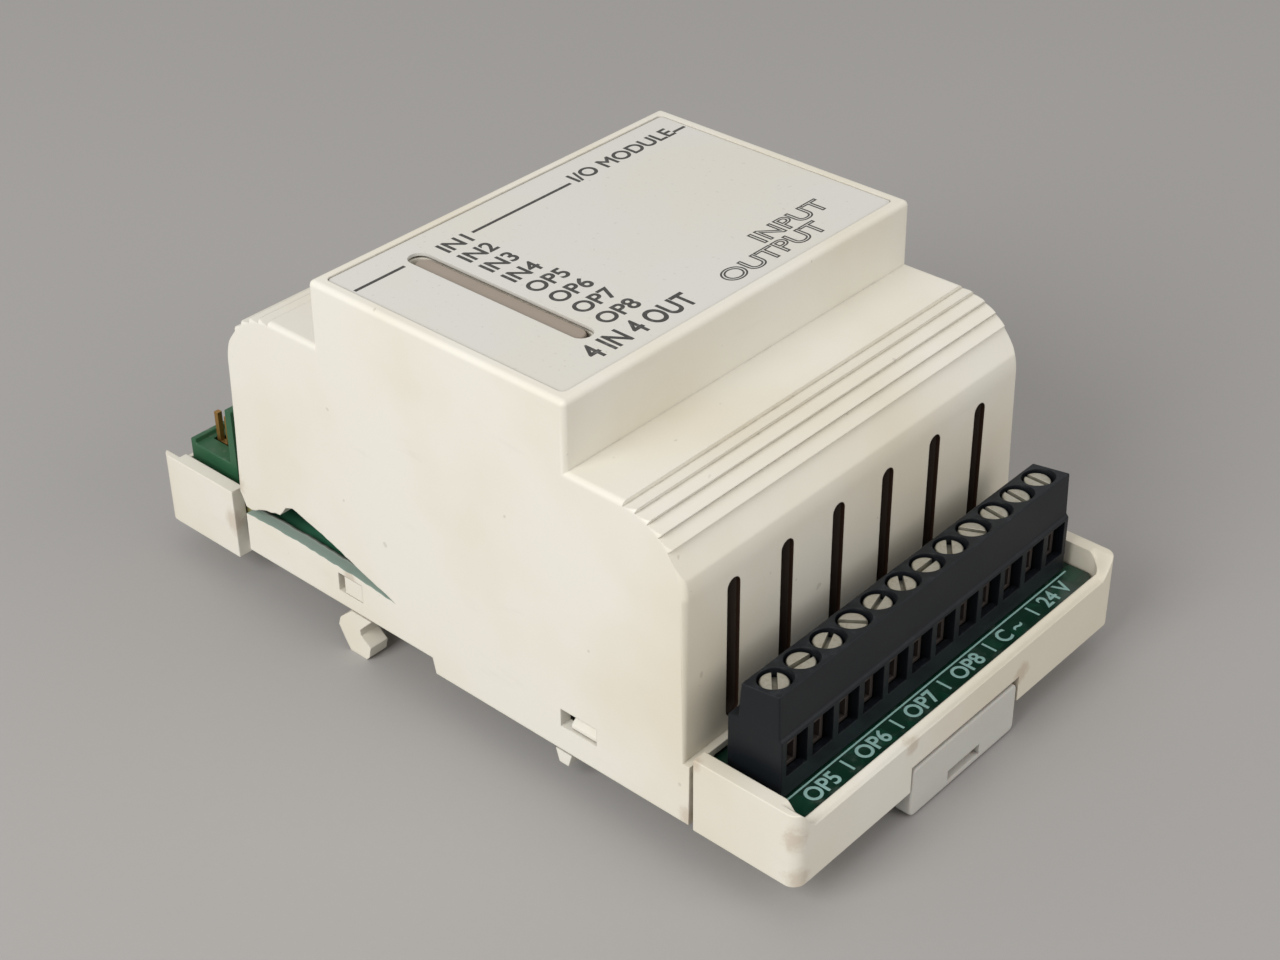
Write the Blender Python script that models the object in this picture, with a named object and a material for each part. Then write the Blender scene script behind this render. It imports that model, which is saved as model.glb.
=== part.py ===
"""A four-module input and output unit for a 35 mm mounting rail, lying on its rail side.

X runs along the rail, Y along the case and Z up from the table. The origin is at
the centre of the footprint, under the rail hooks. Lengths are in metres.
"""

import math
import random

import bmesh
import bpy

MM = 0.001

# Clearance kept between neighbouring pieces.
GAP = 0.3 * MM

# The whole case: four modules of 17.5 mm along the rail.
MODULE_WIDTH = 17.5 * MM
MODULES = 4
WIDTH = MODULES * MODULE_WIDTH
LENGTH = 119.0 * MM
HEIGHT = 58.0 * MM
UNDERSIDE = 4.8 * MM

# The tray that carries the board and grips the rail.
TRAY_FLOOR = 2.0 * MM
TRAY_WALL = 2.1 * MM
TRAY_END_WALL = 1.4 * MM
TRAY_CORNER = 1.8 * MM
END_BLOCK_LENGTH = 16.2 * MM
END_BLOCK_START = LENGTH / 2 - END_BLOCK_LENGTH
END_BLOCK_RIM = 11.4 * MM
END_WALL_TOP = 8.5 * MM
END_WALL_CURVE = 3.0 * MM
NOTCH_HEADROOM = 0.8 * MM

# The rail: 35 mm across its flanges, which are 1 mm thick.
RAIL_WIDTH = 35.0 * MM
RAIL_THICKNESS = 1.0 * MM
HOOK_THICKNESS = 3.2 * MM

# The cover that snaps over the tray.
COVER_WALL = 2.0 * MM
SKIRT_END_GAP = 0.7 * MM
SKIRT_HALF_LENGTH = END_BLOCK_START - SKIRT_END_GAP
COVER_HALF_LENGTH = SKIRT_HALF_LENGTH - 1.1 * MM
SKIRT_BOTTOM = 0.4 * MM
SKIRT_BOTTOM_RAISED = 2.8 * MM
SKIRT_STEP_Y = 2.2 * MM
SKIRT_TOP = 9.6 * MM
SHOULDER_TOP = 43.5 * MM
SHOULDER_RADIUS = 10.0 * MM
NOSE_HALF_LENGTH = 22.5 * MM
SIDE_DRAFT = 1.0 / 53.2
EDGE_ROUNDING = 0.8 * MM

# Five shallow steps round each shoulder. The angles are from the vertical, at
# each step's drop; below the last one the curve runs back out to the face.
STEP_ANGLES = (1.0, 12.5, 25.0, 37.5, 50.0)
STEP_END_ANGLE = 74.0
STEP_DROP = 0.6 * MM

# Cooling slots in the two end faces.
VENTS = 6
VENT_PITCH = 10.2 * MM
VENT_WIDTH = 2.4 * MM
VENT_BOTTOM = 11.5 * MM
VENT_TOP = 32.6 * MM

# The label and the light slot in the nose.
LABEL_BORDER = 1.4 * MM
LABEL_THICKNESS = 0.5 * MM
LIGHT_X = -WIDTH / 2 + 14.5 * MM
LIGHT_SLOT_WIDTH = 3.2 * MM
LIGHT_SLOT_LOW = -14.3 * MM
LIGHT_SLOT_HIGH = 17.5 * MM
LIGHTS = 8
LIGHT_PITCH = 4.0 * MM
GUIDE_FLANGE = 1.8 * MM

# The main board lies inside the tray's walls and the cover's skirts.
BOARD_TOP = 8.0 * MM
BOARD_THICKNESS = 1.6 * MM
BOARD_HALF_WIDTH = WIDTH / 2 - max(TRAY_WALL + GAP, COVER_WALL + 0.4 * MM)
BOARD_HALF_LENGTH = LENGTH / 2 - TRAY_END_WALL - GAP

# Snap lugs on the tray and their windows in the cover's skirts:
# centre along Y, length, lower edge of the window, upper edge.
SNAPS = (
    (-24.1 * MM, 6.2 * MM, 4.2 * MM, 7.0 * MM),
    (18.8 * MM, 4.8 * MM, 5.0 * MM, 8.0 * MM),
)
SNAP_TAB_OUTER = WIDTH / 2 - COVER_WALL - 0.6 * MM
SNAP_TAB_INNER = SNAP_TAB_OUTER - 1.2 * MM

# Terminals: 12 poles of 5.08 mm each, near the board's -Y edge.
POLES = 12
POLE_PITCH = 5.08 * MM
BLOCK_HALF_WIDTH = POLES * POLE_PITCH / 2 + 0.42 * MM
BLOCK_DEPTH = 8.4 * MM
BLOCK_FRONT = -BOARD_HALF_LENGTH + 4.2 * MM
BLOCK_BACK = BLOCK_FRONT + BLOCK_DEPTH
BLOCK_LEDGE = 17.0 * MM
BLOCK_TOP = 23.8 * MM
SCREW_Y = BLOCK_FRONT + 3.7 * MM
SCREW_HEAD_RADIUS = (POLE_PITCH - 2 * GAP - 0.68 * MM) / 2
SCREW_HEAD_TOP = BLOCK_TOP - 1.0 * MM
SCREW_HEAD_BOTTOM = SCREW_HEAD_TOP - 2.1 * MM
SCREW_SHAFT_RADIUS = 1.2 * MM
SCREW_SLOT_WIDTH = 0.7 * MM
SCREW_SLOT_DEPTH = 0.9 * MM

# Each pole's clamp is a cage that rises in a chamber of its own.
CHAMBER_WIDTH = POLE_PITCH - 1.08 * MM
CHAMBER_LOW = 10.8 * MM
CLAMP_HEIGHT = 4.0 * MM
CLAMP_TRAVEL = 2.5 * MM
CLAMP_WALL = 0.6 * MM
CLAMP_DEPTH = 4.6 * MM
CHAMBER_TOP = CHAMBER_LOW + CLAMP_HEIGHT + CLAMP_TRAVEL + 3 * GAP
ENTRY_LOW = CHAMBER_LOW + 0.5 * MM
ENTRY_TOP = BLOCK_LEDGE - 0.3 * MM

# The header and its contacts, by the board's +Y edge.
HEADER_OUTER = BOARD_HALF_LENGTH - 1.2 * MM
HEADER_DEPTH = 10.4 * MM
HEADER_HALF_WIDTH = POLES * POLE_PITCH / 2 + 0.92 * MM
HEADER_FLOOR = 12.7 * MM
HEADER_WALL_TOP = 21.9 * MM
HEADER_LIP_TOP = 13.4 * MM
CONTACT_Y = HEADER_OUTER - 3.7 * MM
CONTACT_WIDTH = 3.0 * MM
CONTACT_LENGTH = 5.6 * MM
CONTACT_SEAT = 11.4 * MM

# The rail latch.
LATCH_HALF_WIDTH = 11.6 * MM
LATCH_HANDLE = 2.3 * MM
LATCH_BAR_HALF_WIDTH = 7.0 * MM
LATCH_TOP = 3.3 * MM
LATCH_BOTTOM = -4.6 * MM
LATCH_BAR_BOTTOM = -3.2 * MM

# The relays behind the terminals.
RELAYS = 4
RELAY_PITCH = 14.6 * MM
RELAY_SIZE = (10.4 * MM, 20.0 * MM, 15.4 * MM)

scene = bpy.context.scene


def up(height):
    """The height above the table of a point given above the tray's underside."""
    return UNDERSIDE + height


def clear_scene():
    for existing in list(bpy.data.objects):
        bpy.data.objects.remove(existing, do_unlink=True)


def material(name, colour, roughness, metallic=0.0):
    made = bpy.data.materials.new(name)
    made.use_nodes = True
    shader = made.node_tree.nodes["Principled BSDF"]
    shader.inputs["Base Color"].default_value = (*colour, 1.0)
    shader.inputs["Roughness"].default_value = roughness
    shader.inputs["Metallic"].default_value = metallic
    made.diffuse_color = (*colour, 1.0)
    return made


def place(name, mesh, paint, location=(0.0, 0.0, 0.0), parent=None):
    """Adds an object that shows the mesh, with its own material, at a location."""
    made = bpy.data.objects.new(name, mesh)
    made.location = location
    made.parent = parent
    if paint is not None and not mesh.materials:
        mesh.materials.append(paint)
    scene.collection.objects.link(made)
    return made


def mesh_of(shape, name):
    """Turns a bmesh into a mesh with outward normals and frees the bmesh."""
    bmesh.ops.recalc_face_normals(shape, faces=shape.faces)
    mesh = bpy.data.meshes.new(name)
    shape.to_mesh(mesh)
    shape.free()
    return mesh


def add_prism(shape, outline, axis, low, high):
    """Extrudes a closed outline along an axis, from low to high.

    The outline holds pairs in the plane of the other two axes, in X, Y, Z order.
    """
    def point(first, second, along):
        values = [first, second]
        values.insert("XYZ".index(axis), along)
        return values

    corners = [shape.verts.new(point(a, b, low)) for a, b in outline]
    base = shape.faces.new(corners)
    raised = bmesh.ops.extrude_face_region(shape, geom=[base])["geom"]
    moved = [item for item in raised if isinstance(item, bmesh.types.BMVert)]
    shift = [0.0, 0.0, 0.0]
    shift["XYZ".index(axis)] = high - low
    bmesh.ops.translate(shape, verts=moved, vec=shift)


def add_box(shape, low, high):
    """Adds a box between two opposite corners."""
    outline = [(low[0], low[1]), (high[0], low[1]), (high[0], high[1]), (low[0], high[1])]
    add_prism(shape, outline, "Z", low[2], high[2])


def add_turned(shape, profile, centre, steps):
    """Turns a profile of (radius, height) pairs about a vertical axis through centre."""
    rings = []
    for radius, height in profile:
        ring = []
        for step in range(steps):
            angle = 2.0 * math.pi * step / steps
            ring.append(
                shape.verts.new(
                    (
                        centre[0] + radius * math.cos(angle),
                        centre[1] + radius * math.sin(angle),
                        height,
                    )
                )
            )
        rings.append(ring)
    for lower, upper in zip(rings, rings[1:]):
        for step in range(steps):
            after = (step + 1) % steps
            shape.faces.new((lower[step], lower[after], upper[after], upper[step]))
    shape.faces.new(rings[0])
    shape.faces.new(rings[-1])


def prism_mesh(name, outline, axis, low, high):
    shape = bmesh.new()
    add_prism(shape, outline, axis, low, high)
    return mesh_of(shape, name)


def box_mesh(name, low, high):
    shape = bmesh.new()
    add_box(shape, low, high)
    return mesh_of(shape, name)


def arc(centre, radius, start, end, steps):
    """Points along a circular arc, with angles in degrees."""
    points = []
    for step in range(steps + 1):
        angle = math.radians(start + (end - start) * step / steps)
        points.append(
            (centre[0] + radius * math.cos(angle), centre[1] + radius * math.sin(angle))
        )
    return points


def rounded_rectangle(low, high, radius, steps=4):
    """The outline of a rectangle with round corners."""
    left, bottom = low[0] + radius, low[1] + radius
    right, top = high[0] - radius, high[1] - radius
    return (
        arc((right, bottom), radius, -90, 0, steps)
        + arc((right, top), radius, 0, 90, steps)
        + arc((left, top), radius, 90, 180, steps)
        + arc((left, bottom), radius, 180, 270, steps)
    )


def combine(target, mesh, operation, name):
    """Cuts a mesh from the target, or joins it on, with a Boolean modifier."""
    helper = place(name, mesh, None)
    helper.hide_render = True
    helper.display_type = "WIRE"
    modifier = target.modifiers.new(name, "BOOLEAN")
    modifier.operation = operation
    modifier.object = helper
    modifier.solver = "EXACT"
    return helper


def cut(target, mesh, name):
    return combine(target, mesh, "DIFFERENCE", name)


def join(target, mesh, name):
    return combine(target, mesh, "UNION", name)


def settle(target, helpers):
    """Applies the modifiers to the mesh, so that copies can share it."""
    graph = bpy.context.evaluated_depsgraph_get()
    settled = bpy.data.meshes.new_from_object(target.evaluated_get(graph))
    target.modifiers.clear()
    target.data = settled
    for helper in helpers:
        bpy.data.objects.remove(helper, do_unlink=True)
    return settled


def smooth(target, angle=32.0):
    """Shades round faces smooth and keeps the corners sharp."""
    target.data.shade_smooth()
    target.data.set_sharp_from_angle(angle=math.radians(angle))


def pole_x(pole):
    """The X position of a terminal or header pole, counted from 0 at -X."""
    return (pole - (POLES - 1) / 2.0) * POLE_PITCH


def drafted(shape):
    """Leans the two side faces in towards the top."""
    for corner in shape.verts:
        rise = corner.co.z - UNDERSIDE
        side = math.copysign(1.0, corner.co.x)
        corner.co.x -= side * rise * SIDE_DRAFT


def snap_outline(side, window_low, window_high):
    """A tab that stands on the tray floor, with a lug that slopes in at its top."""
    lug_low = window_low + GAP
    return [
        (side * SNAP_TAB_INNER, up(0.5 * MM)),
        (side * SNAP_TAB_OUTER, up(0.5 * MM)),
        (side * SNAP_TAB_OUTER, up(lug_low)),
        (side * (WIDTH / 2 - 0.5 * MM), up(lug_low)),
        (side * (WIDTH / 2 - 0.5 * MM), up(lug_low + 0.5 * MM)),
        (side * SNAP_TAB_OUTER, up(window_high - GAP)),
        (side * SNAP_TAB_INNER, up(window_high - GAP)),
    ]


def hook_outline():
    """The rail hook in Y and Z: a stem, and a lip under the rail's flange."""
    throat = RAIL_WIDTH / 2
    return [
        (throat - 2.5 * MM, up(SKIRT_BOTTOM_RAISED - GAP)),
        (throat, up(-0.1 * MM)),
        (throat - 0.1 * MM, up(-RAIL_THICKNESS)),
        (throat - 1.9 * MM, up(-2.4 * MM)),
        (throat - 1.5 * MM, up(-4.1 * MM)),
        (throat - 0.9 * MM, 0.0),
        (throat + 2.4 * MM, 0.0),
        (throat + 3.3 * MM, up(-3.4 * MM)),
        (throat + 4.5 * MM, up(-1.2 * MM)),
        (throat + 4.0 * MM, up(0.3 * MM)),
        (throat + 1.5 * MM, up(SKIRT_BOTTOM_RAISED - GAP)),
    ]


def add_end_wall_cut(shape, side, steps):
    """The space above one end wall. Its underside rises to the side rims and inwards."""
    full = END_BLOCK_RIM + 0.05 * MM - END_WALL_TOP
    limit = LENGTH / 2 - 0.6 * MM
    across = [WIDTH / 2 - 0.6 * MM - END_WALL_CURVE * step / steps for step in range(steps + 1)]
    across = [-WIDTH / 2 - 1 * MM] + [-x for x in across] + across[::-1] + [WIDTH / 2 + 1 * MM]
    along = [limit - END_WALL_CURVE * (1 - step / steps) for step in range(steps + 1)]
    along.append(LENGTH / 2 + 1 * MM)

    def smooth_share(value):
        value = min(1.0, max(0.0, value))
        return value * value * (3 - 2 * value)

    def height(x, y):
        beside = smooth_share((abs(x) - WIDTH / 2 + 0.6 * MM) / END_WALL_CURVE + 1)
        before = smooth_share((limit - y) / END_WALL_CURVE)
        return up(END_WALL_TOP + full * max(beside, before))

    lower = [[shape.verts.new((x, side * y, height(x, y))) for x in across] for y in along]
    top = up(END_BLOCK_RIM + 1 * MM)
    upper = [[shape.verts.new((x, side * y, top)) for x in across] for y in along]
    rows, columns = len(along), len(across)
    for grid in (lower, upper):
        for row in range(rows - 1):
            for column in range(columns - 1):
                first, second = grid[row], grid[row + 1]
                shape.faces.new(
                    (first[column], first[column + 1], second[column + 1], second[column])
                )
    rim = [(0, column) for column in range(columns)]
    rim += [(row, columns - 1) for row in range(1, rows)]
    rim += [(rows - 1, column) for column in range(columns - 2, -1, -1)]
    rim += [(row, 0) for row in range(rows - 2, 0, -1)]
    for (row, column), (next_row, next_column) in zip(rim, rim[1:] + rim[:1]):
        shape.faces.new(
            (
                lower[row][column], lower[next_row][next_column],
                upper[next_row][next_column], upper[row][column],
            )
        )


def make_base_tray(paint):
    half_width, half_length = WIDTH / 2, LENGTH / 2
    plan = rounded_rectangle(
        (-half_width, -half_length), (half_width, half_length), TRAY_CORNER
    )
    tray = place(
        "base_tray", prism_mesh("base_tray", plan, "Z", up(0.0), up(END_BLOCK_RIM)), paint
    )

    pocket = rounded_rectangle(
        (-half_width + TRAY_WALL, -half_length + TRAY_END_WALL),
        (half_width - TRAY_WALL, half_length - TRAY_END_WALL),
        1.2 * MM,
        2,
    )
    cut(
        tray,
        prism_mesh("tray_pocket", pocket, "Z", up(TRAY_FLOOR), up(20 * MM)),
        "tray_pocket",
    )

    # The sides between the end blocks, where the cover's skirts hang.
    shape = bmesh.new()
    for side in (-1, 1):
        inner, outer = side * SNAP_TAB_OUTER, side * (half_width + 1 * MM)
        add_box(
            shape,
            (min(inner, outer), -END_BLOCK_START, up(-1 * MM)),
            (max(inner, outer), END_BLOCK_START, up(20 * MM)),
        )
    cut(tray, mesh_of(shape, "tray_sides"), "tray_sides")

    # The end walls are lower than the side rims, which curve round the corners.
    shape = bmesh.new()
    for side in (-1, 1):
        add_end_wall_cut(shape, side, 6)
    cut(tray, mesh_of(shape, "tray_end_walls"), "tray_end_walls")

    notch_half = LATCH_HALF_WIDTH + GAP
    cut(
        tray,
        box_mesh(
            "latch_notch",
            (-notch_half, -half_length - 1 * MM, up(-1 * MM)),
            (notch_half, -half_length + LATCH_HANDLE + GAP, up(LATCH_TOP + NOTCH_HEADROOM)),
        ),
        "latch_notch",
    )

    shape = bmesh.new()
    for side in (-1, 1):
        outer, inner = side * half_width, side * (half_width - HOOK_THICKNESS)
        add_prism(shape, hook_outline(), "X", min(outer, inner), max(outer, inner))
    join(tray, mesh_of(shape, "rail_hooks"), "rail_hooks")

    shape = bmesh.new()
    for side in (-1, 1):
        outer, inner = side * half_width, side * (half_width - 4.0 * MM)
        tab = [
            (-22.8 * MM, up(0.1 * MM)),
            (-22.2 * MM, up(-1.9 * MM)),
            (-20.6 * MM, up(-1.9 * MM)),
            (-20.0 * MM, up(0.1 * MM)),
        ]
        add_prism(shape, tab, "X", min(outer, inner), max(outer, inner))
    join(tray, mesh_of(shape, "rest_tabs"), "rest_tabs")

    shape = bmesh.new()
    for side in (-1, 1):
        for centre, length, low, high in SNAPS:
            add_prism(
                shape,
                snap_outline(side, low, high),
                "Y",
                centre - length / 2 + GAP,
                centre + length / 2 - 5 * GAP,
            )
    join(tray, mesh_of(shape, "snap_lugs"), "snap_lugs")

    # Posts that carry the board.
    shape = bmesh.new()
    post_top = BOARD_TOP - BOARD_THICKNESS - GAP
    reach_x, reach_y = BOARD_HALF_WIDTH - 6.6 * MM, BOARD_HALF_LENGTH - 7.8 * MM
    for x in (-reach_x, reach_x):
        for y in (-reach_y, 0.0, reach_y):
            add_box(
                shape,
                (x - 2.5 * MM, y - 2.5 * MM, up(1.0 * MM)),
                (x + 2.5 * MM, y + 2.5 * MM, up(post_top)),
            )
    join(tray, mesh_of(shape, "board_posts"), "board_posts")

    # Two L-shaped guides hold the latch bar under the floor.
    shape = bmesh.new()
    near = LATCH_BAR_HALF_WIDTH - 1.2 * MM
    wall = LATCH_BAR_HALF_WIDTH + GAP
    for side in (-1, 1):
        guide = [
            (side * wall, up(1.0 * MM)),
            (side * wall, up(LATCH_BAR_BOTTOM - GAP)),
            (side * near, up(LATCH_BAR_BOTTOM - GAP)),
            (side * near, up(LATCH_BAR_BOTTOM - GAP - 1.0 * MM)),
            (side * (wall + 1.8 * MM), up(LATCH_BAR_BOTTOM - GAP - 1.0 * MM)),
            (side * (wall + 1.8 * MM), up(1.0 * MM)),
        ]
        add_prism(shape, guide, "Y", -half_length + 13.5 * MM, -RAIL_WIDTH / 2 - 8.5 * MM)
    join(tray, mesh_of(shape, "latch_guides"), "latch_guides")
    return tray


def cover_outline():
    """The cover seen from the side, in Y and Z, from the skirts to the nose."""
    centre_y = COVER_HALF_LENGTH - SHOULDER_RADIUS
    centre_z = up(SHOULDER_TOP - SHOULDER_RADIUS)
    outline = [
        (-SKIRT_HALF_LENGTH, up(SKIRT_BOTTOM)),
        (SKIRT_STEP_Y, up(SKIRT_BOTTOM)),
        (SKIRT_STEP_Y + 0.6 * MM, up(SKIRT_BOTTOM_RAISED)),
        (SKIRT_HALF_LENGTH, up(SKIRT_BOTTOM_RAISED)),
        (SKIRT_HALF_LENGTH, up(SKIRT_TOP)),
        (COVER_HALF_LENGTH, up(SKIRT_TOP)),
    ]
    outline += arc((centre_y, centre_z), SHOULDER_RADIUS, 0, 90, 9)
    outline += [
        (NOSE_HALF_LENGTH, up(SHOULDER_TOP)),
        (NOSE_HALF_LENGTH, HEIGHT),
        (-NOSE_HALF_LENGTH, HEIGHT),
        (-NOSE_HALF_LENGTH, up(SHOULDER_TOP)),
    ]
    outline += arc((-centre_y, centre_z), SHOULDER_RADIUS, 90, 180, 9)
    outline += [
        (-COVER_HALF_LENGTH, up(SKIRT_TOP)),
        (-SKIRT_HALF_LENGTH, up(SKIRT_TOP)),
    ]
    return outline


def cavity_outline():
    """The hollow of the cover, one wall thickness inside its outline."""
    centre_y = COVER_HALF_LENGTH - SHOULDER_RADIUS
    centre_z = up(SHOULDER_TOP - SHOULDER_RADIUS)
    inner = SHOULDER_RADIUS - COVER_WALL
    nose = NOSE_HALF_LENGTH - COVER_WALL
    end = COVER_HALF_LENGTH - COVER_WALL
    return (
        [(-end, up(-2 * MM)), (end, up(-2 * MM))]
        + arc((centre_y, centre_z), inner, 0, 90, 7)
        + [
            (nose, up(SHOULDER_TOP) - COVER_WALL),
            (nose, HEIGHT - COVER_WALL),
            (-nose, HEIGHT - COVER_WALL),
            (-nose, up(SHOULDER_TOP) - COVER_WALL),
        ]
        + arc((-centre_y, centre_z), inner, 90, 180, 7)
    )


def weigh_edges(shape):
    """Marks the edges of the cover that are rounded over."""
    weight = shape.edges.layers.float.new("bevel_weight_edge")
    for edge in shape.edges:
        first, second = (corner.co for corner in edge.verts)
        above = min(first.z, second.z) > up(SKIRT_TOP) - 0.1 * MM
        on_side = first.x * second.x > 0 and above
        across = first.x * second.x < 0
        nose_edge = across and min(first.z, second.z) > HEIGHT - 0.1 * MM
        inside_corner = (
            on_side
            and abs(first.z - up(SKIRT_TOP)) < 0.1 * MM
            and abs(second.z - up(SKIRT_TOP)) < 0.1 * MM
        )
        if (on_side and not inside_corner) or nose_edge:
            edge[weight] = 1.0


def step_outline(side):
    """What the steps take off one shoulder, in Y and Z: each tread runs out to the
    curve and then drops square to it."""
    centre_y = COVER_HALF_LENGTH - SHOULDER_RADIUS
    centre_z = up(SHOULDER_TOP - SHOULDER_RADIUS)

    def spot(radius, angle):
        lean = math.radians(angle)
        return (
            side * (centre_y + radius * math.sin(lean)),
            centre_z + radius * math.cos(lean),
        )

    outline = []
    tread_end = SHOULDER_RADIUS - 0.05 * MM
    for angle, following in zip(STEP_ANGLES, STEP_ANGLES[1:]):
        outline.append(spot(SHOULDER_RADIUS - STEP_DROP, angle))
        outline.append(spot(tread_end, following))
    outline.append(spot(SHOULDER_RADIUS - STEP_DROP, STEP_ANGLES[-1]))
    outline.append(spot(SHOULDER_RADIUS + 0.1 * MM, STEP_END_ANGLE))
    for angle in reversed((*STEP_ANGLES, STEP_END_ANGLE)):
        outline.append(spot(SHOULDER_RADIUS + 2 * MM, angle))
    return outline


def crack_outline():
    """The broken patch of the skirt at the +Y end, in Y and Z.

    A wedge runs from the broken corner towards the middle, over a strip that has
    sprung away from the rest. Distances are measured back from the skirt's end.
    """
    strip = [(-0.9, 1.0), (2.1, 1.0), (2.0, 9.0), (7.6, 9.3), (13.9, 9.3), (26.2, 8.9)]
    tip = [(33.1, 8.3)]
    edge = [(20.6, 12.5), (16.6, 13.6), (12.6, 14.6), (11.1, 14.0), (9.7, 12.2)]
    flap = [(6.8, 11.6), (3.3, 10.2), (2.2, 10.3), (1.4, 12.0), (0.6, 13.8), (-0.9, 14.0)]
    return [
        (SKIRT_HALF_LENGTH - back * MM, up(height * MM))
        for back, height in strip + tip + edge + flap
    ]


def light_slot_outline(half_width):
    """A slot with round ends, in X and Y."""
    low, high = LIGHT_SLOT_LOW + half_width, LIGHT_SLOT_HIGH - half_width
    return arc((LIGHT_X, high), half_width, 0, 180, 6) + arc(
        (LIGHT_X, low), half_width, 180, 360, 6
    )


def make_top_cover(paint):
    half_width = WIDTH / 2
    shape = bmesh.new()
    add_prism(shape, cover_outline(), "X", -half_width, half_width)
    drafted(shape)
    weigh_edges(shape)
    cover = place("top_cover", mesh_of(shape, "top_cover"), paint)
    rounding = cover.modifiers.new("rounded_edges", "BEVEL")
    rounding.limit_method = "WEIGHT"
    rounding.width = EDGE_ROUNDING
    rounding.segments = 2

    shape = bmesh.new()
    inner = half_width - COVER_WALL
    add_prism(shape, cavity_outline(), "X", -inner, inner)
    drafted(shape)
    cut(cover, mesh_of(shape, "cover_cavity"), "cover_cavity")
    cut(
        cover,
        box_mesh(
            "skirt_opening",
            (-inner, -LENGTH / 2, up(-2 * MM)),
            (inner, LENGTH / 2, up(BOARD_TOP + 2 * GAP)),
        ),
        "skirt_opening",
    )

    shape = bmesh.new()
    for side in (-1, 1):
        add_prism(
            shape, step_outline(side), "X", -half_width - 1 * MM, half_width + 1 * MM
        )
    cut(cover, mesh_of(shape, "shoulder_steps"), "shoulder_steps")

    shape = bmesh.new()
    half = VENT_WIDTH / 2
    for vent in range(VENTS):
        x = (vent - (VENTS - 1) / 2.0) * VENT_PITCH
        outline = arc((x, up(VENT_TOP) - half), half, 0, 180, 6) + arc(
            (x, up(VENT_BOTTOM) + half), half, 180, 360, 6
        )
        add_prism(shape, outline, "Y", -LENGTH / 2, LENGTH / 2)
    cut(cover, mesh_of(shape, "vent_slots"), "vent_slots")

    shape = bmesh.new()
    for side in (-1, 1):
        inside = side * (half_width - 2 * COVER_WALL)
        outside = side * (half_width + 1 * MM)
        for centre, length, low, high in SNAPS:
            add_box(
                shape,
                (min(inside, outside), centre - length / 2, up(low)),
                (max(inside, outside), centre + length / 2, up(high)),
            )
    cut(cover, mesh_of(shape, "snap_windows"), "snap_windows")

    nose_half_width = half_width - (HEIGHT - UNDERSIDE) * SIDE_DRAFT
    recess = rounded_rectangle(
        (-nose_half_width + LABEL_BORDER, -NOSE_HALF_LENGTH + LABEL_BORDER),
        (nose_half_width - LABEL_BORDER, NOSE_HALF_LENGTH - LABEL_BORDER),
        1.0 * MM,
        3,
    )
    recess_floor = HEIGHT - LABEL_THICKNESS - 1.5 * GAP
    cut(
        cover,
        prism_mesh("label_recess", recess, "Z", recess_floor, HEIGHT + 1 * MM),
        "label_recess",
    )
    cut(
        cover,
        prism_mesh(
            "light_slot",
            light_slot_outline(LIGHT_SLOT_WIDTH / 2),
            "Z",
            HEIGHT - COVER_WALL - 1 * MM,
            HEIGHT + 1 * MM,
        ),
        "light_slot",
    )
    cut(
        cover,
        prism_mesh(
            "broken_skirt",
            crack_outline(),
            "X",
            -half_width - 1 * MM,
            -half_width + COVER_WALL + GAP,
        ),
        "broken_skirt",
    )
    return cover


def make_label_plate(paint):
    nose_half_width = WIDTH / 2 - (HEIGHT - UNDERSIDE) * SIDE_DRAFT
    edge = LABEL_BORDER + GAP
    outline = rounded_rectangle(
        (-nose_half_width + edge, -NOSE_HALF_LENGTH + edge),
        (nose_half_width - edge, NOSE_HALF_LENGTH - edge),
        0.8 * MM,
        3,
    )
    top = HEIGHT - 0.5 * GAP
    plate = place(
        "label_plate",
        prism_mesh("label_plate", outline, "Z", top - LABEL_THICKNESS, top),
        paint,
    )
    cut(
        plate,
        prism_mesh(
            "label_light_slot",
            light_slot_outline(LIGHT_SLOT_WIDTH / 2),
            "Z",
            HEIGHT - LABEL_THICKNESS - 1 * MM,
            HEIGHT + 1 * MM,
        ),
        "label_light_slot",
    )
    return plate


def make_light_guide(paint):
    """A clear bar in the nose slot, with a flange under the cover."""
    half = LIGHT_SLOT_WIDTH / 2 - GAP
    middle = (LIGHT_SLOT_LOW + LIGHT_SLOT_HIGH) / 2
    flange_top = HEIGHT - COVER_WALL - GAP
    flange_bottom = flange_top - GUIDE_FLANGE
    bar_top = HEIGHT - 0.6 * MM
    section = [
        (-half - 1.6 * MM, flange_bottom),
        (half + 1.6 * MM, flange_bottom),
        (half + 1.6 * MM, flange_top),
        (half, flange_top),
        (half, bar_top),
        (-half, bar_top),
        (-half, flange_top),
        (-half - 1.6 * MM, flange_top),
    ]
    reach = (LIGHT_SLOT_HIGH - LIGHT_SLOT_LOW) / 2 - GAP - 0.9 * MM
    return place(
        "light_guide",
        prism_mesh("light_guide", section, "Y", -reach, reach),
        paint,
        (LIGHT_X, middle, 0.0),
    )


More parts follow.
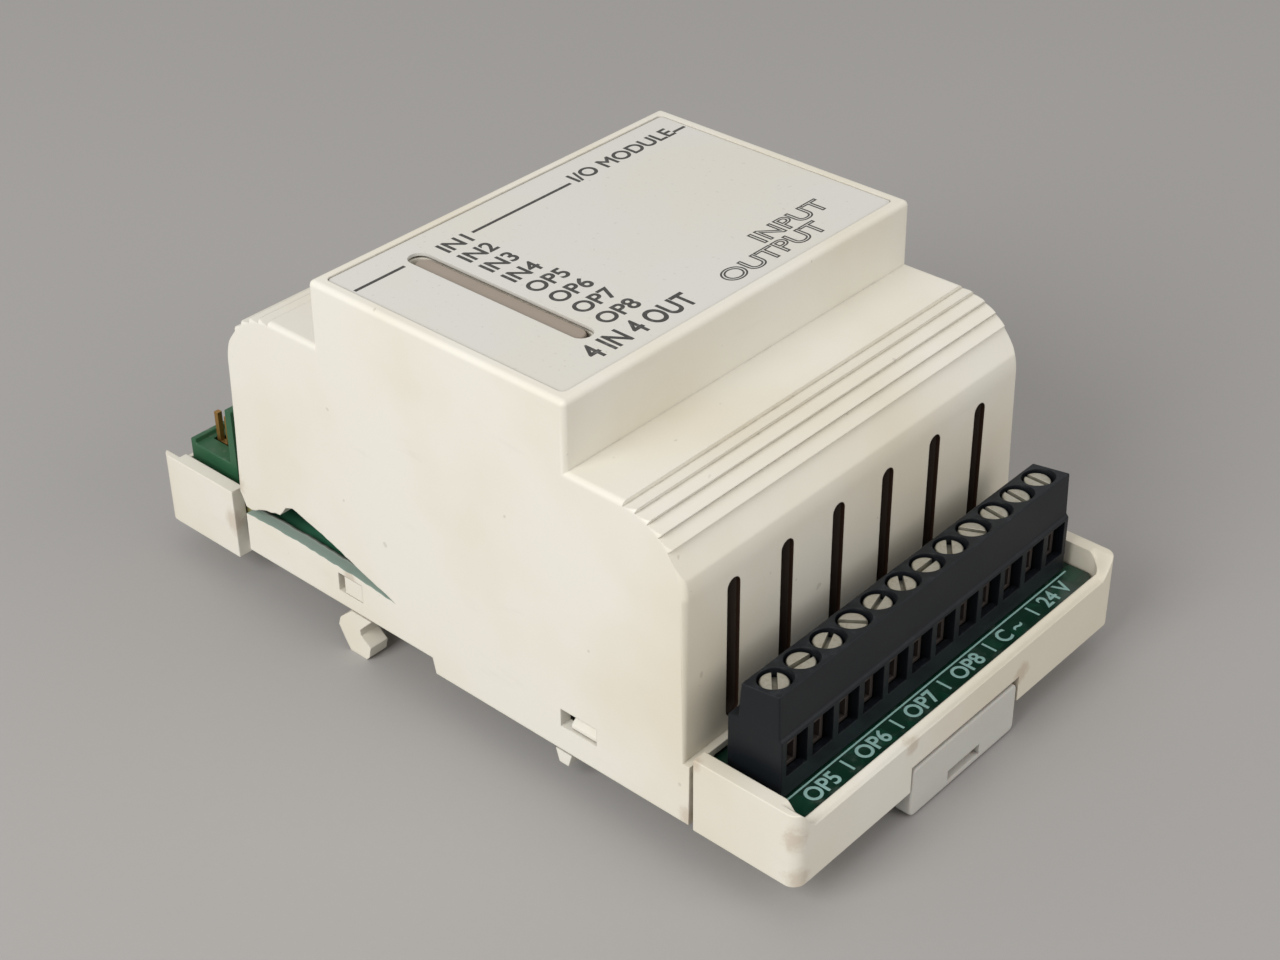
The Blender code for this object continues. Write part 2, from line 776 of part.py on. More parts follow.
def make_indicators(board_paint, lamp_paint):
    """An upright board with a row of small lamps along its top edge."""
    lamp_top = HEIGHT - COVER_WALL - GUIDE_FLANGE - 0.5 * MM - GAP
    lamp_height = 2.6 * MM
    board_top = lamp_top - lamp_height - GAP
    place(
        "led_board",
        box_mesh(
            "led_board",
            (-0.8 * MM, LIGHT_SLOT_LOW - 1 * MM, up(BOARD_TOP) + GAP),
            (0.8 * MM, LIGHT_SLOT_HIGH + 1 * MM, board_top),
        ),
        board_paint,
        (LIGHT_X, 0.0, 0.0),
    )
    lamp = box_mesh(
        "led", (-0.9 * MM, -1.4 * MM, -lamp_height), (0.9 * MM, 1.4 * MM, 0.0)
    )
    middle = (LIGHT_SLOT_LOW + LIGHT_SLOT_HIGH) / 2
    for light in range(LIGHTS):
        y = middle + ((LIGHTS - 1) / 2.0 - light) * LIGHT_PITCH
        place(f"led_{light + 1}", lamp, lamp_paint, (LIGHT_X, y, lamp_top))


def make_main_board(paint):
    """The board, notched at its edges where the snap lugs stand."""
    inset = SNAP_TAB_INNER - 0.4 * MM
    half_width, half_length = BOARD_HALF_WIDTH, BOARD_HALF_LENGTH
    corner = 1.2 * MM
    right = [(half_width - corner, -half_length), (half_width, -half_length + corner)]
    for centre, length, _, _ in SNAPS:
        low, high = centre - length / 2 - 0.3 * MM, centre + length / 2 + 0.3 * MM
        right += [(half_width, low), (inset, low), (inset, high), (half_width, high)]
    right += [(half_width, half_length - corner), (half_width - corner, half_length)]
    left = [(-x, y) for x, y in reversed(right)]
    return place(
        "main_board",
        prism_mesh(
            "main_board", right + left, "Z", up(BOARD_TOP - BOARD_THICKNESS), up(BOARD_TOP)
        ),
        paint,
    )


def make_terminal_block(paint):
    foot = up(BOARD_TOP) + GAP
    section = [
        (BLOCK_FRONT, foot),
        (BLOCK_BACK, foot),
        (BLOCK_BACK, up(BLOCK_LEDGE + 0.2 * MM)),
        (BLOCK_BACK - 1.6 * MM, up(BLOCK_LEDGE + 0.7 * MM)),
        (BLOCK_BACK - 2.0 * MM, up(BLOCK_TOP - 0.9 * MM)),
        (BLOCK_FRONT + 0.6 * MM, up(BLOCK_TOP)),
        (BLOCK_FRONT + 0.4 * MM, up(BLOCK_LEDGE + 0.4 * MM)),
        (BLOCK_FRONT, up(BLOCK_LEDGE)),
    ]
    block = place(
        "terminal_block",
        prism_mesh("terminal_block", section, "X", -BLOCK_HALF_WIDTH, BLOCK_HALF_WIDTH),
        paint,
    )

    # One wire entry and clamp chamber for each pole.
    front = SCREW_Y - CLAMP_DEPTH / 2 - GAP
    back = SCREW_Y + CLAMP_DEPTH / 2 + GAP
    chamber = [
        (BLOCK_FRONT - 1 * MM, up(ENTRY_LOW)),
        (front, up(ENTRY_LOW)),
        (front, up(CHAMBER_LOW)),
        (back, up(CHAMBER_LOW)),
        (back, up(CHAMBER_TOP)),
        (front, up(CHAMBER_TOP)),
        (front, up(ENTRY_TOP)),
        (BLOCK_FRONT - 1 * MM, up(ENTRY_TOP)),
    ]
    shape = bmesh.new()
    for pole in range(POLES):
        middle = pole_x(pole)
        half = CHAMBER_WIDTH / 2
        add_prism(shape, chamber, "X", middle - half, middle + half)
    cut(block, mesh_of(shape, "wire_entries"), "wire_entries")

    bore = [
        (SCREW_SHAFT_RADIUS + GAP, up(CHAMBER_TOP - 0.5 * MM)),
        (SCREW_SHAFT_RADIUS + GAP, up(SCREW_HEAD_BOTTOM) - GAP),
        (SCREW_HEAD_RADIUS + GAP, up(SCREW_HEAD_BOTTOM) - GAP),
        (SCREW_HEAD_RADIUS + GAP, up(BLOCK_TOP + 1 * MM)),
    ]
    shape = bmesh.new()
    for pole in range(POLES):
        add_turned(shape, bore, (pole_x(pole), SCREW_Y), 16)
    cut(block, mesh_of(shape, "screw_bores"), "screw_bores")
    return block


def make_terminal_screws(paint):
    """One slotted screw for each pole, its origin on its axis at the head's top."""
    head = SCREW_HEAD_TOP - SCREW_HEAD_BOTTOM
    tip = CHAMBER_LOW + 2 * GAP + CLAMP_TRAVEL + CLAMP_WALL
    shape = bmesh.new()
    profile = [
        (SCREW_SHAFT_RADIUS, tip - SCREW_HEAD_TOP),
        (SCREW_SHAFT_RADIUS, -head),
        (SCREW_HEAD_RADIUS, -head),
        (SCREW_HEAD_RADIUS, -0.25 * MM),
        (SCREW_HEAD_RADIUS - 0.25 * MM, 0.0),
    ]
    add_turned(shape, profile, (0.0, 0.0), 16)
    pattern = place("terminal_screw_01", mesh_of(shape, "terminal_screw"), paint)
    slot = cut(
        pattern,
        box_mesh(
            "screw_slot",
            (-3 * MM, -SCREW_SLOT_WIDTH / 2, -SCREW_SLOT_DEPTH),
            (3 * MM, SCREW_SLOT_WIDTH / 2, 1 * MM),
        ),
        "screw_slot",
    )
    shared = settle(pattern, [slot])
    smooth(pattern)
    turn = random.Random(8)
    for pole in range(POLES):
        spot = (pole_x(pole), SCREW_Y, up(SCREW_HEAD_TOP))
        if pole == 0:
            screw = pattern
            screw.location = spot
        else:
            screw = place(f"terminal_screw_{pole + 1:02d}", shared, paint, spot)
        screw.rotation_euler.z = turn.uniform(0.0, math.pi)


def make_wire_clamps(paint):
    """A rising cage for each pole, open along Y, that its screw pulls up."""
    half = CHAMBER_WIDTH / 2 - GAP
    depth = CLAMP_DEPTH / 2
    pattern = place(
        "wire_clamp_01",
        box_mesh("wire_clamp", (-half, -depth, 0.0), (half, depth, CLAMP_HEIGHT)),
        paint,
    )
    window = cut(
        pattern,
        box_mesh(
            "clamp_window",
            (-half + CLAMP_WALL, -depth - 1 * MM, CLAMP_WALL),
            (half - CLAMP_WALL, depth + 1 * MM, CLAMP_HEIGHT - CLAMP_WALL),
        ),
        "clamp_window",
    )
    shape = bmesh.new()
    radius = SCREW_SHAFT_RADIUS + 0.15 * MM
    low, top = CLAMP_WALL + GAP / 2, CLAMP_HEIGHT + 1 * MM
    add_turned(shape, [(radius, low), (radius, top)], (0.0, 0.0), 12)
    hole = cut(pattern, mesh_of(shape, "clamp_thread"), "clamp_thread")
    shared = settle(pattern, [window, hole])
    for pole in range(POLES):
        spot = (pole_x(pole), SCREW_Y, up(CHAMBER_LOW) + GAP)
        if pole == 0:
            pattern.location = spot
        else:
            place(f"wire_clamp_{pole + 1:02d}", shared, paint, spot)


def make_input_header(paint):
    """The header at the +Y end: a floor, a low lip and a tall wall by the cover."""
    foot = up(BOARD_TOP) + GAP
    inner = HEADER_OUTER - HEADER_DEPTH
    section = [
        (inner, foot),
        (HEADER_OUTER, foot),
        (HEADER_OUTER, up(HEADER_LIP_TOP)),
        (HEADER_OUTER - 0.9 * MM, up(HEADER_LIP_TOP)),
        (HEADER_OUTER - 1.1 * MM, up(HEADER_FLOOR)),
        (inner + 1.6 * MM, up(HEADER_FLOOR)),
        (inner + 1.4 * MM, up(HEADER_WALL_TOP)),
        (inner, up(HEADER_WALL_TOP)),
    ]
    header = place(
        "input_header",
        prism_mesh("input_header", section, "X", -HEADER_HALF_WIDTH, HEADER_HALF_WIDTH),
        paint,
    )
    shape = bmesh.new()
    reach = CONTACT_WIDTH / 2 + 0.4 * MM
    for pole in range(POLES):
        add_box(
            shape,
            (pole_x(pole) - 0.8 * MM, CONTACT_Y - reach, up(CONTACT_SEAT)),
            (pole_x(pole) + 0.8 * MM, CONTACT_Y + reach, up(HEADER_FLOOR + 2 * MM)),
        )
    cut(header, mesh_of(shape, "contact_pockets"), "contact_pockets")
    return header


def make_header_contacts(paint):
    """A two-tined contact for each pole, standing in its pocket."""
    reach, tine_width = CONTACT_WIDTH / 2, 0.8 * MM
    fork = [
        (-reach, 0.0),
        (reach, 0.0),
        (reach, CONTACT_LENGTH),
        (reach - tine_width, CONTACT_LENGTH),
        (reach - tine_width, tine_width),
        (tine_width - reach, tine_width),
        (tine_width - reach, CONTACT_LENGTH),
        (-reach, CONTACT_LENGTH),
    ]
    shared = prism_mesh("header_contact", fork, "X", -0.4 * MM, 0.4 * MM)
    for pole in range(POLES):
        spot = (pole_x(pole), CONTACT_Y, up(CONTACT_SEAT) + GAP)
        place(f"header_contact_{pole + 1:02d}", shared, paint, spot)


def make_rail_latch(paint):
    """The sliding latch: a handle in the front wall, a bar and a claw."""
    front = -LENGTH / 2
    bar_top = -GAP
    handle = rounded_rectangle(
        (-LATCH_HALF_WIDTH, up(LATCH_BOTTOM)), (LATCH_HALF_WIDTH, up(LATCH_TOP)), 1.0 * MM, 2
    )
    latch = place(
        "rail_latch",
        prism_mesh("rail_latch", handle, "Y", front, front + LATCH_HANDLE),
        paint,
    )
    claw = [
        (front + 1.0 * MM, up(LATCH_BAR_BOTTOM)),
        (front + 1.0 * MM, up(bar_top)),
        (-RAIL_WIDTH / 2 - GAP, up(bar_top)),
        (-RAIL_WIDTH / 2 - GAP, up(-RAIL_THICKNESS - GAP)),
        (-RAIL_WIDTH / 2 + 1.9 * MM, up(-RAIL_THICKNESS - 2 * GAP)),
        (-RAIL_WIDTH / 2 + 0.6 * MM, up(LATCH_BAR_BOTTOM)),
    ]
    join(
        latch,
        prism_mesh("latch_bar", claw, "X", -LATCH_BAR_HALF_WIDTH, LATCH_BAR_HALF_WIDTH),
        "latch_bar",
    )
    # A slot in the handle for the tip of a screwdriver.
    cut(
        latch,
        box_mesh(
            "latch_tool_slot",
            (-3.5 * MM, front - 1 * MM, up(LATCH_BOTTOM + 1.0 * MM)),
            (3.5 * MM, front + 1.2 * MM, up(LATCH_BOTTOM + 2.6 * MM)),
        ),
        "latch_tool_slot",
    )
    return latch


def make_relays(paint):
    width, length, height = RELAY_SIZE
    outline = rounded_rectangle(
        (-width / 2, -length / 2), (width / 2, length / 2), 0.8 * MM, 2
    )
    shared = prism_mesh("relay", outline, "Z", 0.0, height)
    for relay in range(RELAYS):
        x = (relay - (RELAYS - 1) / 2.0) * RELAY_PITCH
        y = -COVER_HALF_LENGTH + COVER_WALL + length / 2 + 0.9 * MM
        place(f"relay_{relay + 1}", shared, paint, (x, y, up(BOARD_TOP) + GAP))


def make_board_parts(chip_paint, can_paint):
    """The controller, the input isolator and the supply's capacitor."""
    seat = up(BOARD_TOP) + GAP
    chip = rounded_rectangle((-8.0 * MM, -8.0 * MM), (8.0 * MM, 8.0 * MM), 0.6 * MM, 2)
    place(
        "controller_chip",
        prism_mesh("controller_chip", chip, "Z", 0.0, 3.8 * MM),
        chip_paint,
        (4.0 * MM, 6.0 * MM, seat),
    )
    package = [(-3.2 * MM, 0.0), (3.2 * MM, 0.0), (2.9 * MM, 3.6 * MM), (-2.9 * MM, 3.6 * MM)]
    shape = bmesh.new()
    add_prism(shape, package, "X", -10.0 * MM, 10.0 * MM)
    place(
        "input_isolator",
        mesh_of(shape, "input_isolator"),
        chip_paint,
        (0.0, COVER_HALF_LENGTH - 7.5 * MM, seat),
    )
    shape = bmesh.new()
    profile = [(4.7 * MM, 0.0), (5.0 * MM, 0.4 * MM), (5.0 * MM, 15.6 * MM), (4.7 * MM, 16.0 * MM)]
    add_turned(shape, profile, (0.0, 0.0), 20)
    capacitor = place(
        "filter_capacitor",
        mesh_of(shape, "filter_capacitor"),
        can_paint,
        (24.0 * MM, 12.0 * MM, seat),
    )
    smooth(capacitor)


def main():
    clear_scene()
    case = material("case_ivory", (0.75, 0.72, 0.62), 0.5)
    cover = material("cover_ivory", (0.77, 0.75, 0.66), 0.48)
    label = material("label_grey", (0.66, 0.65, 0.61), 0.45)
    smoke = material("light_guide_grey", (0.32, 0.28, 0.25), 0.3)
    green = material("board_green", (0.02, 0.11, 0.07), 0.4)
    lamp = material("lamp_red", (0.45, 0.06, 0.04), 0.25)
    nylon = material("latch_nylon", (0.62, 0.61, 0.57), 0.5)
    black = material("terminal_black", (0.03, 0.034, 0.038), 0.45)
    nickel = material("screw_nickel", (0.62, 0.61, 0.56), 0.32, 1.0)
    steel = material("clamp_steel", (0.45, 0.44, 0.42), 0.4, 1.0)
    header = material("header_green", (0.05, 0.27, 0.13), 0.42)
    brass = material("contact_brass", (0.5, 0.36, 0.16), 0.4, 1.0)
    relay = material("relay_grey", (0.06, 0.06, 0.07), 0.5)
    chip = material("chip_black", (0.02, 0.02, 0.022), 0.5)
    can = material("capacitor_sleeve", (0.05, 0.09, 0.22), 0.35)

    make_base_tray(case)
    make_top_cover(cover)
    make_label_plate(label)
    make_light_guide(smoke)
    make_indicators(green, lamp)
    make_rail_latch(nylon)
    make_main_board(green)
    make_terminal_block(black)
    make_terminal_screws(nickel)
    make_wire_clamps(steel)
    make_input_header(header)
    make_header_contacts(brass)
    make_relays(relay)
    make_board_parts(chip, can)


main()
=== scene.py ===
"""The looks of a four-module input and output unit that lies on its rail side.

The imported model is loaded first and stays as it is. Each operator then makes one
piece, or one group of like pieces, in the same frame: X along the rail, Y along the
case, Z up from the table, in metres.
"""

import math
import random

import bmesh
import bpy
from mathutils import Matrix, Vector


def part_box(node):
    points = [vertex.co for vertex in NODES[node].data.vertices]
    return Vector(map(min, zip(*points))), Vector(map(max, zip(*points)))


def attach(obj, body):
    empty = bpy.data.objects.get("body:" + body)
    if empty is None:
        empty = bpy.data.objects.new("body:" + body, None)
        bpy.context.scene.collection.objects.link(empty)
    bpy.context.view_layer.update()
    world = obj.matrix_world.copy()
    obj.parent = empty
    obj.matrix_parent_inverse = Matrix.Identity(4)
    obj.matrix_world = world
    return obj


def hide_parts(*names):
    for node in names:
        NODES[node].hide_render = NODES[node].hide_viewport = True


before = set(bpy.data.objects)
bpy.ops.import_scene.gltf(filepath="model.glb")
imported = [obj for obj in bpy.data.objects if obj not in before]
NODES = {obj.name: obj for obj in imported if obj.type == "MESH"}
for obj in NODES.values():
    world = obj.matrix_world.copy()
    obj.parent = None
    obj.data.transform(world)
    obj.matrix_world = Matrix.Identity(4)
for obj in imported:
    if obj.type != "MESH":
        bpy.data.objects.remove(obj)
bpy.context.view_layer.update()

bl_info = {
    "name": "Rail module builder",
    "version": (1, 0, 0),
    "blender": (4, 5, 0),
    "location": "3D View > Sidebar > Rail Module",
    "description": "Builds the detailed pieces of a rail-mounted control module",
    "category": "Add Mesh",
}

MM = 0.001
GAP = 0.3 * MM


def corner(node, end, axis):
    """One coordinate of a node's box: end 0 is the low side and 1 the high side."""
    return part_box(node)[end]["XYZ".index(axis)]


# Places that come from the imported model.
HALF_WIDTH = corner("base_tray", 1, "X")
HALF_LENGTH = corner("base_tray", 1, "Y")
HEIGHT = corner("top_cover", 1, "Z")
SKIRT_HALF_LENGTH = corner("top_cover", 1, "Y")
BOARD_TOP_Z = corner("main_board", 1, "Z")
UNDERSIDE = BOARD_TOP_Z - 8.0 * MM
BLOCK_FRONT = corner("terminal_block", 0, "Y")
BLOCK_BACK = corner("terminal_block", 1, "Y")
BLOCK_HALF_WIDTH = corner("terminal_block", 1, "X")
HEADER_OUTER = corner("input_header", 1, "Y")
HEADER_INNER = corner("input_header", 0, "Y")
HEADER_HALF_WIDTH = corner("input_header", 1, "X")
POLES = 12
POLE_X = [
    (corner(f"wire_clamp_{pole + 1:02d}", 0, "X") + corner(f"wire_clamp_{pole + 1:02d}", 1, "X"))
    / 2
    for pole in range(POLES)
]
SCREW_Y = (corner("wire_clamp_01", 0, "Y") + corner("wire_clamp_01", 1, "Y")) / 2
LIGHT_X = (corner("light_guide", 0, "X") + corner("light_guide", 1, "X")) / 2

# Snap lugs on the tray and their windows in the cover: centre, length, low, high.
SNAPS = ((-24.1, 6.2, 4.2, 7.0), (18.8, 4.8, 5.0, 8.0))

# The cover's sides lean in by this much for each unit of height.
SIDE_DRAFT = 1.0 / 53.2
SKIRT_TOP = 9.6
SHOULDER_OUTER = SKIRT_HALF_LENGTH - 1.1 * MM
STEP_ANGLES = (1.0, 12.5, 25.0, 37.5, 50.0)
STEP_END_ANGLE = 74.0
VENTS = 6
VENT_LOW, VENT_TOP = 11.5, 32.6

# The tray's end blocks: their side rims, the lower end walls, and the curve between.
RIM_TOP, END_WALL_TOP = 11.4, 8.5
END_WALL_CURVE = 3.0 * MM
END_WALL_MARGIN = 0.6 * MM
TAB_OUTER = HALF_WIDTH - 2.6 * MM

# The board's screw holes, and the tray's posts under them.
POST_X = corner("main_board", 1, "X") - 6.6 * MM
POST_Y = corner("main_board", 1, "Y") - 7.8 * MM

SCREW_HEAD_HEIGHT = 2.1 * MM
ENTRY_LOW, ENTRY_TOP = 11.3, 16.7
CHAMBER_LOW, CHAMBER_TOP = 10.8, 18.2


def up(height):
    """A height above the tray's underside, given in millimetres, as a world height."""
    return UNDERSIDE + height * MM


def srgb(red, green, blue):
    """A colour in linear light from its 8-bit screen values."""
    def linear(value):
        value /= 255.0
        return value / 12.92 if value <= 0.04045 else ((value + 0.055) / 1.055) ** 2.4

    return linear(red), linear(green), linear(blue)


def size(name, millimetres, description):
    """A length that a user can change, shown in scene units."""
    return bpy.props.FloatProperty(
        name=name,
        description=description,
        default=millimetres * MM,
        min=0.0,
        subtype="DISTANCE",
        unit="LENGTH",
        precision=5,
    )


def colour(name, value, description):
    return bpy.props.FloatVectorProperty(
        name=name,
        description=description,
        default=srgb(*value),
        size=3,
        min=0.0,
        max=1.0,
        subtype="COLOR",
    )


def share(name, value, description, high=1.0):
    return bpy.props.FloatProperty(
        name=name, description=description, default=value, min=0.0, max=high, subtype="FACTOR"
    )


class CaseSettings(bpy.types.PropertyGroup):
    """Sizes and colours of the cover, the tray and the label."""

    wall: size("Wall", 2.0, "Thickness of the cover's walls")
    edge_round: size("Edge rounding", 0.8, "Radius of the cover's outer edges")
    shoulder_top: size("Shoulder height", 43.5, "Shoulders above the tray's underside")
    shoulder_radius: size("Shoulder radius", 10.0, "Radius of the shoulders")
    nose_half_length: size("Nose half length", 22.5, "Half the length of the nose")
    step_drop: size("Step drop", 0.6, "Depth of each step round a shoulder")
    vent_width: size("Vent width", 2.4, "Width of a cooling slot")
    vent_pitch: size("Vent pitch", 10.2, "Distance between cooling slots")
    slot_width: size("Light slot width", 3.2, "Width of the light slot")
    label_border: size("Label border", 1.4, "Width of the rim round the label")
    ivory: colour("Ivory", (229, 226, 216), "The moulding's own colour")
    yellowed: colour("Yellowed ivory", (219, 211, 192), "The moulding where it has aged")
    # This colour stands for smears and dust, and for painted shade in corners and grooves.
    grime_and_shade: colour("Grime", (96, 74, 52), "Dirt in the corners and grooves")
    film: colour("Label film", (214, 213, 208), "The label's ground colour")
    ink: colour("Label ink", (62, 60, 58), "The label's print")
    guide: colour("Light guide", (160, 147, 134), "The smoked light guide")
    nylon: colour("Latch", (206, 205, 199), "Natural nylon of the rail latch")
    # Wear also sets how much painted shade darkens the ivory's corners.
    wear: share("Wear", 0.4, "How worn and dirty the mouldings are")


class ElectricSettings(bpy.types.PropertyGroup):
    """Sizes and colours of the board, the terminals and the header."""

    screw_radius: size("Screw head radius", 1.9, "Radius of a terminal screw's head")
    shaft_radius: size("Screw shaft radius", 1.2, "Radius of a terminal screw's shaft")
    slot_width: size("Screw slot width", 0.7, "Width of a screw's slot")
    legend_height: size("Legend height", 2.3, "Height of the letters on the board")
    block: colour("Terminal block", (12, 17, 23), "Moulded terminal block")
    nickel: colour("Nickel", (200, 197, 184), "Plating of the screws")
    resist: colour("Solder resist", (14, 62, 46), "Green lacquer over the board")
    legend: colour("Legend", (150, 190, 184), "Print on the board")
    header: colour("Header", (38, 84, 56), "Moulded header")


class StageSettings(bpy.types.PropertyGroup):
    """The floor, the lights and the camera."""

    floor: colour("Floor", (167, 165, 164), "Plain floor")
    key: bpy.props.FloatProperty(
        name="Key light", description="Power of the main light", default=4.98, min=0.0,
        unit="POWER",
    )
    fill: bpy.props.FloatProperty(
        name="Fill light", description="Power of the second light", default=2.4, min=0.0,
        unit="POWER",
    )
    sky: share("Sky", 0.55, "Strength of the light from all round", high=5.0)
    focal: bpy.props.FloatProperty(
        name="Focal length", description="Focal length of the camera, in millimetres",
        default=62.67, min=1.0, unit="CAMERA",
    )


# --------------------------------------------------------------------------
# Materials
# --------------------------------------------------------------------------


def feed(tree, place, value):
    """Puts a value on a node's input, or links a socket to it."""
    if isinstance(value, Value):
        tree.links.new(value.socket, place)
    elif place.type == "RGBA":
        place.default_value = (*value, 1.0)
    else:
        place.default_value = value


class Value:
    """A socket that takes part in sums: each operator adds a Math node."""

    def __init__(self, tree, socket):
        self.tree = tree
        self.socket = socket

    def sum(self, operation, *terms):
        node = self.tree.nodes.new("ShaderNodeMath")
        node.operation = operation
        for place, term in zip(node.inputs, terms):
            feed(self.tree, place, term)
        return Value(self.tree, node.outputs[0])

    def __add__(self, other):
        return self.sum("ADD", self, other)

    __radd__ = __add__

    def __sub__(self, other):
        return self.sum("SUBTRACT", self, other)

    def __rsub__(self, other):
        return self.sum("SUBTRACT", other, self)

    def __mul__(self, other):
        return self.sum("MULTIPLY", self, other)

    __rmul__ = __mul__

    def __pow__(self, other):
        return self.sum("POWER", self, other)

    def most(self, other):
        return self.sum("MAXIMUM", self, other)


class Finish:
    """A material: its nodes, and the shader that they feed."""

    def __init__(self, name, constants=None):
        self.material = bpy.data.materials.new(name)
        self.material.use_nodes = True
        self.tree = self.material.node_tree
        self.shader = self.tree.nodes["Principled BSDF"]
        for socket, value in (constants or {}).items():
            feed(self.tree, self.shader.inputs[socket], value)
        self.place = self.node("ShaderNodeTexCoord", output="Object")

    def node(self, kind, settings=None, values=None, output=0):
        """Adds a node: its settings first, then the values or links of its inputs."""
        made = self.tree.nodes.new(kind)
        for name, setting in (settings or {}).items():
            setattr(made, name, setting)
        for name, value in (values or {}).items():
            feed(self.tree, made.inputs[name], value)
        return Value(self.tree, made.outputs[output])

    def stretch(self, x, y, z):
        """The surface's coordinates, each multiplied by a number."""
        return self.node(
            "ShaderNodeVectorMath", {"operation": "MULTIPLY"}, {0: self.place, 1: (x, y, z)}
        )

    def noise(self, scale, detail=2.0, where=None, rough=0.5):
        return self.node(
            "ShaderNodeTexNoise",
            values={
                "Vector": where or self.place, "Scale": scale, "Detail": detail,
                "Roughness": rough,
            },
        )

    def band(self, value, low, high):
        """Runs smoothly from 0 at low to 1 at high."""
        return self.node(
            "ShaderNodeMapRange",
            {"interpolation_type": "SMOOTHSTEP"},
            {"Value": value, "From Min": low, "From Max": high},
        )

    def mix(self, amount, first, second):
        """A colour between two others."""
        return self.node(
            "ShaderNodeMix", {"data_type": "RGBA"}, {0: amount, 6: first, 7: second}, 2
        )

    def corners(self, distance, power=1.5):
        """Ambient occlusion: 0 on open surfaces, rising towards 1 deep in corners and grooves
        where shade falls; a mask for painted shade.
        """
        open_sky = self.node(
            "ShaderNodeAmbientOcclusion", {"samples": 6}, {"Distance": distance}, "AO"
        )
        return (1.0 - open_sky) ** power

    def axis(self, name):
        """One coordinate of the surface, in metres."""
        return self.node("ShaderNodeSeparateXYZ", values={0: self.place}, output=name)

    def facing(self, name):
        """One component of the surface's direction."""
        normal = self.node("ShaderNodeNewGeometry", output="Normal")
        return self.node("ShaderNodeSeparateXYZ", values={0: normal}, output=name)

    def relief(self, height, distance, strength=1.0, edge=0.0):
        """Bumps the surface by height, which runs from 0 to 1, over slightly soft edges."""
        values = {"Height": height, "Distance": distance, "Strength": strength}
        if edge:
            values["Normal"] = self.node(
                "ShaderNodeBevel", {"samples": 4}, {"Radius": edge}
            )
        self.set("Normal", self.node("ShaderNodeBump", values=values))

    def set(self, socket, value):
        feed(self.tree, self.shader.inputs[socket], value)


def colour_openings(made, colour_now):
    """Paints shade in dark brown on the cooling slots' walls and the cover's inside, and pales
    the broken ledge.
    """
    x, y, z = (made.axis(name) for name in "XYZ")
    face_y, face_z = made.facing("Y"), made.facing("Z")
    below_shoulder = 1.0 - made.band(z, up(33.0), up(33.2))

    def within(coordinate, reach, soft):
        """1 nearer the middle than reach, on both sides, and 0 beyond its soft edge."""
        return 1.0 - made.band(coordinate * coordinate, reach ** 2, (reach + soft) ** 2)

    slots = (1.0 - made.band(face_y * face_y, 0.1, 0.4)) * within(x, 31 * MM, 0.2 * MM)
    slots = slots * made.band(y * y, (40.8 * MM) ** 2, (40.9 * MM) ** 2)
    slots = slots * made.band(z, up(11.2), up(11.4)) * below_shoulder
    inside = within(x, 33.05 * MM, 0.1 * MM) * within(y, 41.2 * MM, 0.1 * MM) * below_shoulder
    # Painted shade: dark brown on the slots' walls and, nearly as strong, on the cover's inside.
    colour_now = made.mix(slots.most(inside * 0.9), colour_now, srgb(62, 42, 31))

    ledge = made.band(face_z, 0.5, 0.8) * (1.0 - made.band(z, up(9.9), up(10.2)))
    ledge = ledge * made.band(z, up(8.0), up(8.2))
    ledge = ledge * (1.0 - made.band(x, -33.5 * MM, -32.5 * MM)) * made.band(y, 8 * MM, 12 * MM)
    return made.mix(ledge * 0.85, colour_now, srgb(134, 160, 150))


def moulded_ivory(name, settings, dirt_and_shade=1.0, marks=(), openings=False):
    """Aged ivory moulding: mottled, dirty and painted with shade in its corners, scuffed and
    fine-grained.

    Each mark is a place and a radius where the surface is rubbed brown. Openings asks for
    the painted shade in the cover's slots and inside, and the pale broken ledge.
    """
    made = Finish(name, {"Specular IOR Level": 0.45})
    wear = settings.wear * dirt_and_shade
    patches = made.noise(38.0, 3.0)
    clouds = made.noise(9.0, 2.0)
    colour_now = made.mix(
        made.band(patches * 0.6 + clouds * 0.6, 0.45, 0.85), settings.ivory, settings.yellowed
    )
    # Brownish dust settles in corners, thicker where the fine noise is high; the same
    # ambient-occlusion mask lays painted shade there.
    specks = made.noise(900.0, 4.0, rough=0.7)
    corner_dirt_and_shade = made.corners(1.1 * MM, 1.2) * (0.55 + 0.9 * specks)
    dirt_and_shade_now = made.band(corner_dirt_and_shade, 0.34, 0.95) * (0.9 * wear + 0.3)
    # Thin smears and specks over the open faces.
    smear = made.noise(1.0, 5.0, made.stretch(60.0, 60.0, 240.0), 0.62)
    smear = made.band(smear, 0.60, 0.82) * (0.16 * wear)
    specks_now = made.band(made.noise(520.0, 1.0), 0.775, 0.80) * (0.5 * wear)
    rubbed = None
    for x, y, z, radius in marks:
        away = made.node(
            "ShaderNodeVectorMath",
            {"operation": "DISTANCE"},
            {0: made.place, 1: (x, y, z)},
            "Value",
        )
        ragged = away + (made.noise(700.0, 4.0, rough=0.7) - 0.5) * (radius * 1.3)
        spot = 1.0 - made.band(ragged, radius * 0.25, radius)
        rubbed = spot if rubbed is None else rubbed.most(spot)
    colour_now = made.mix(smear.most(specks_now), colour_now, settings.grime_and_shade)
    if rubbed is not None:
        colour_now = made.mix(rubbed * 0.34, colour_now, srgb(158, 126, 92))
    colour_now = made.mix(dirt_and_shade_now, colour_now, settings.grime_and_shade)
    if openings:
        colour_now = colour_openings(made, colour_now)
    made.set("Base Color", colour_now)
    scuffs = made.band(made.noise(1.0, 3.0, made.stretch(900.0, 60.0, 500.0)), 0.60, 0.72)
    made.set("Roughness", 0.42 + 0.14 * patches + 0.10 * scuffs + 0.2 * dirt_and_shade_now)
    grain = made.noise(4200.0, 2.0) + 0.25 * made.noise(160.0, 1.0) - 0.5 * scuffs
    made.relief(grain, 0.012 * MM, 0.75, edge=0.22 * MM)
    return made.material


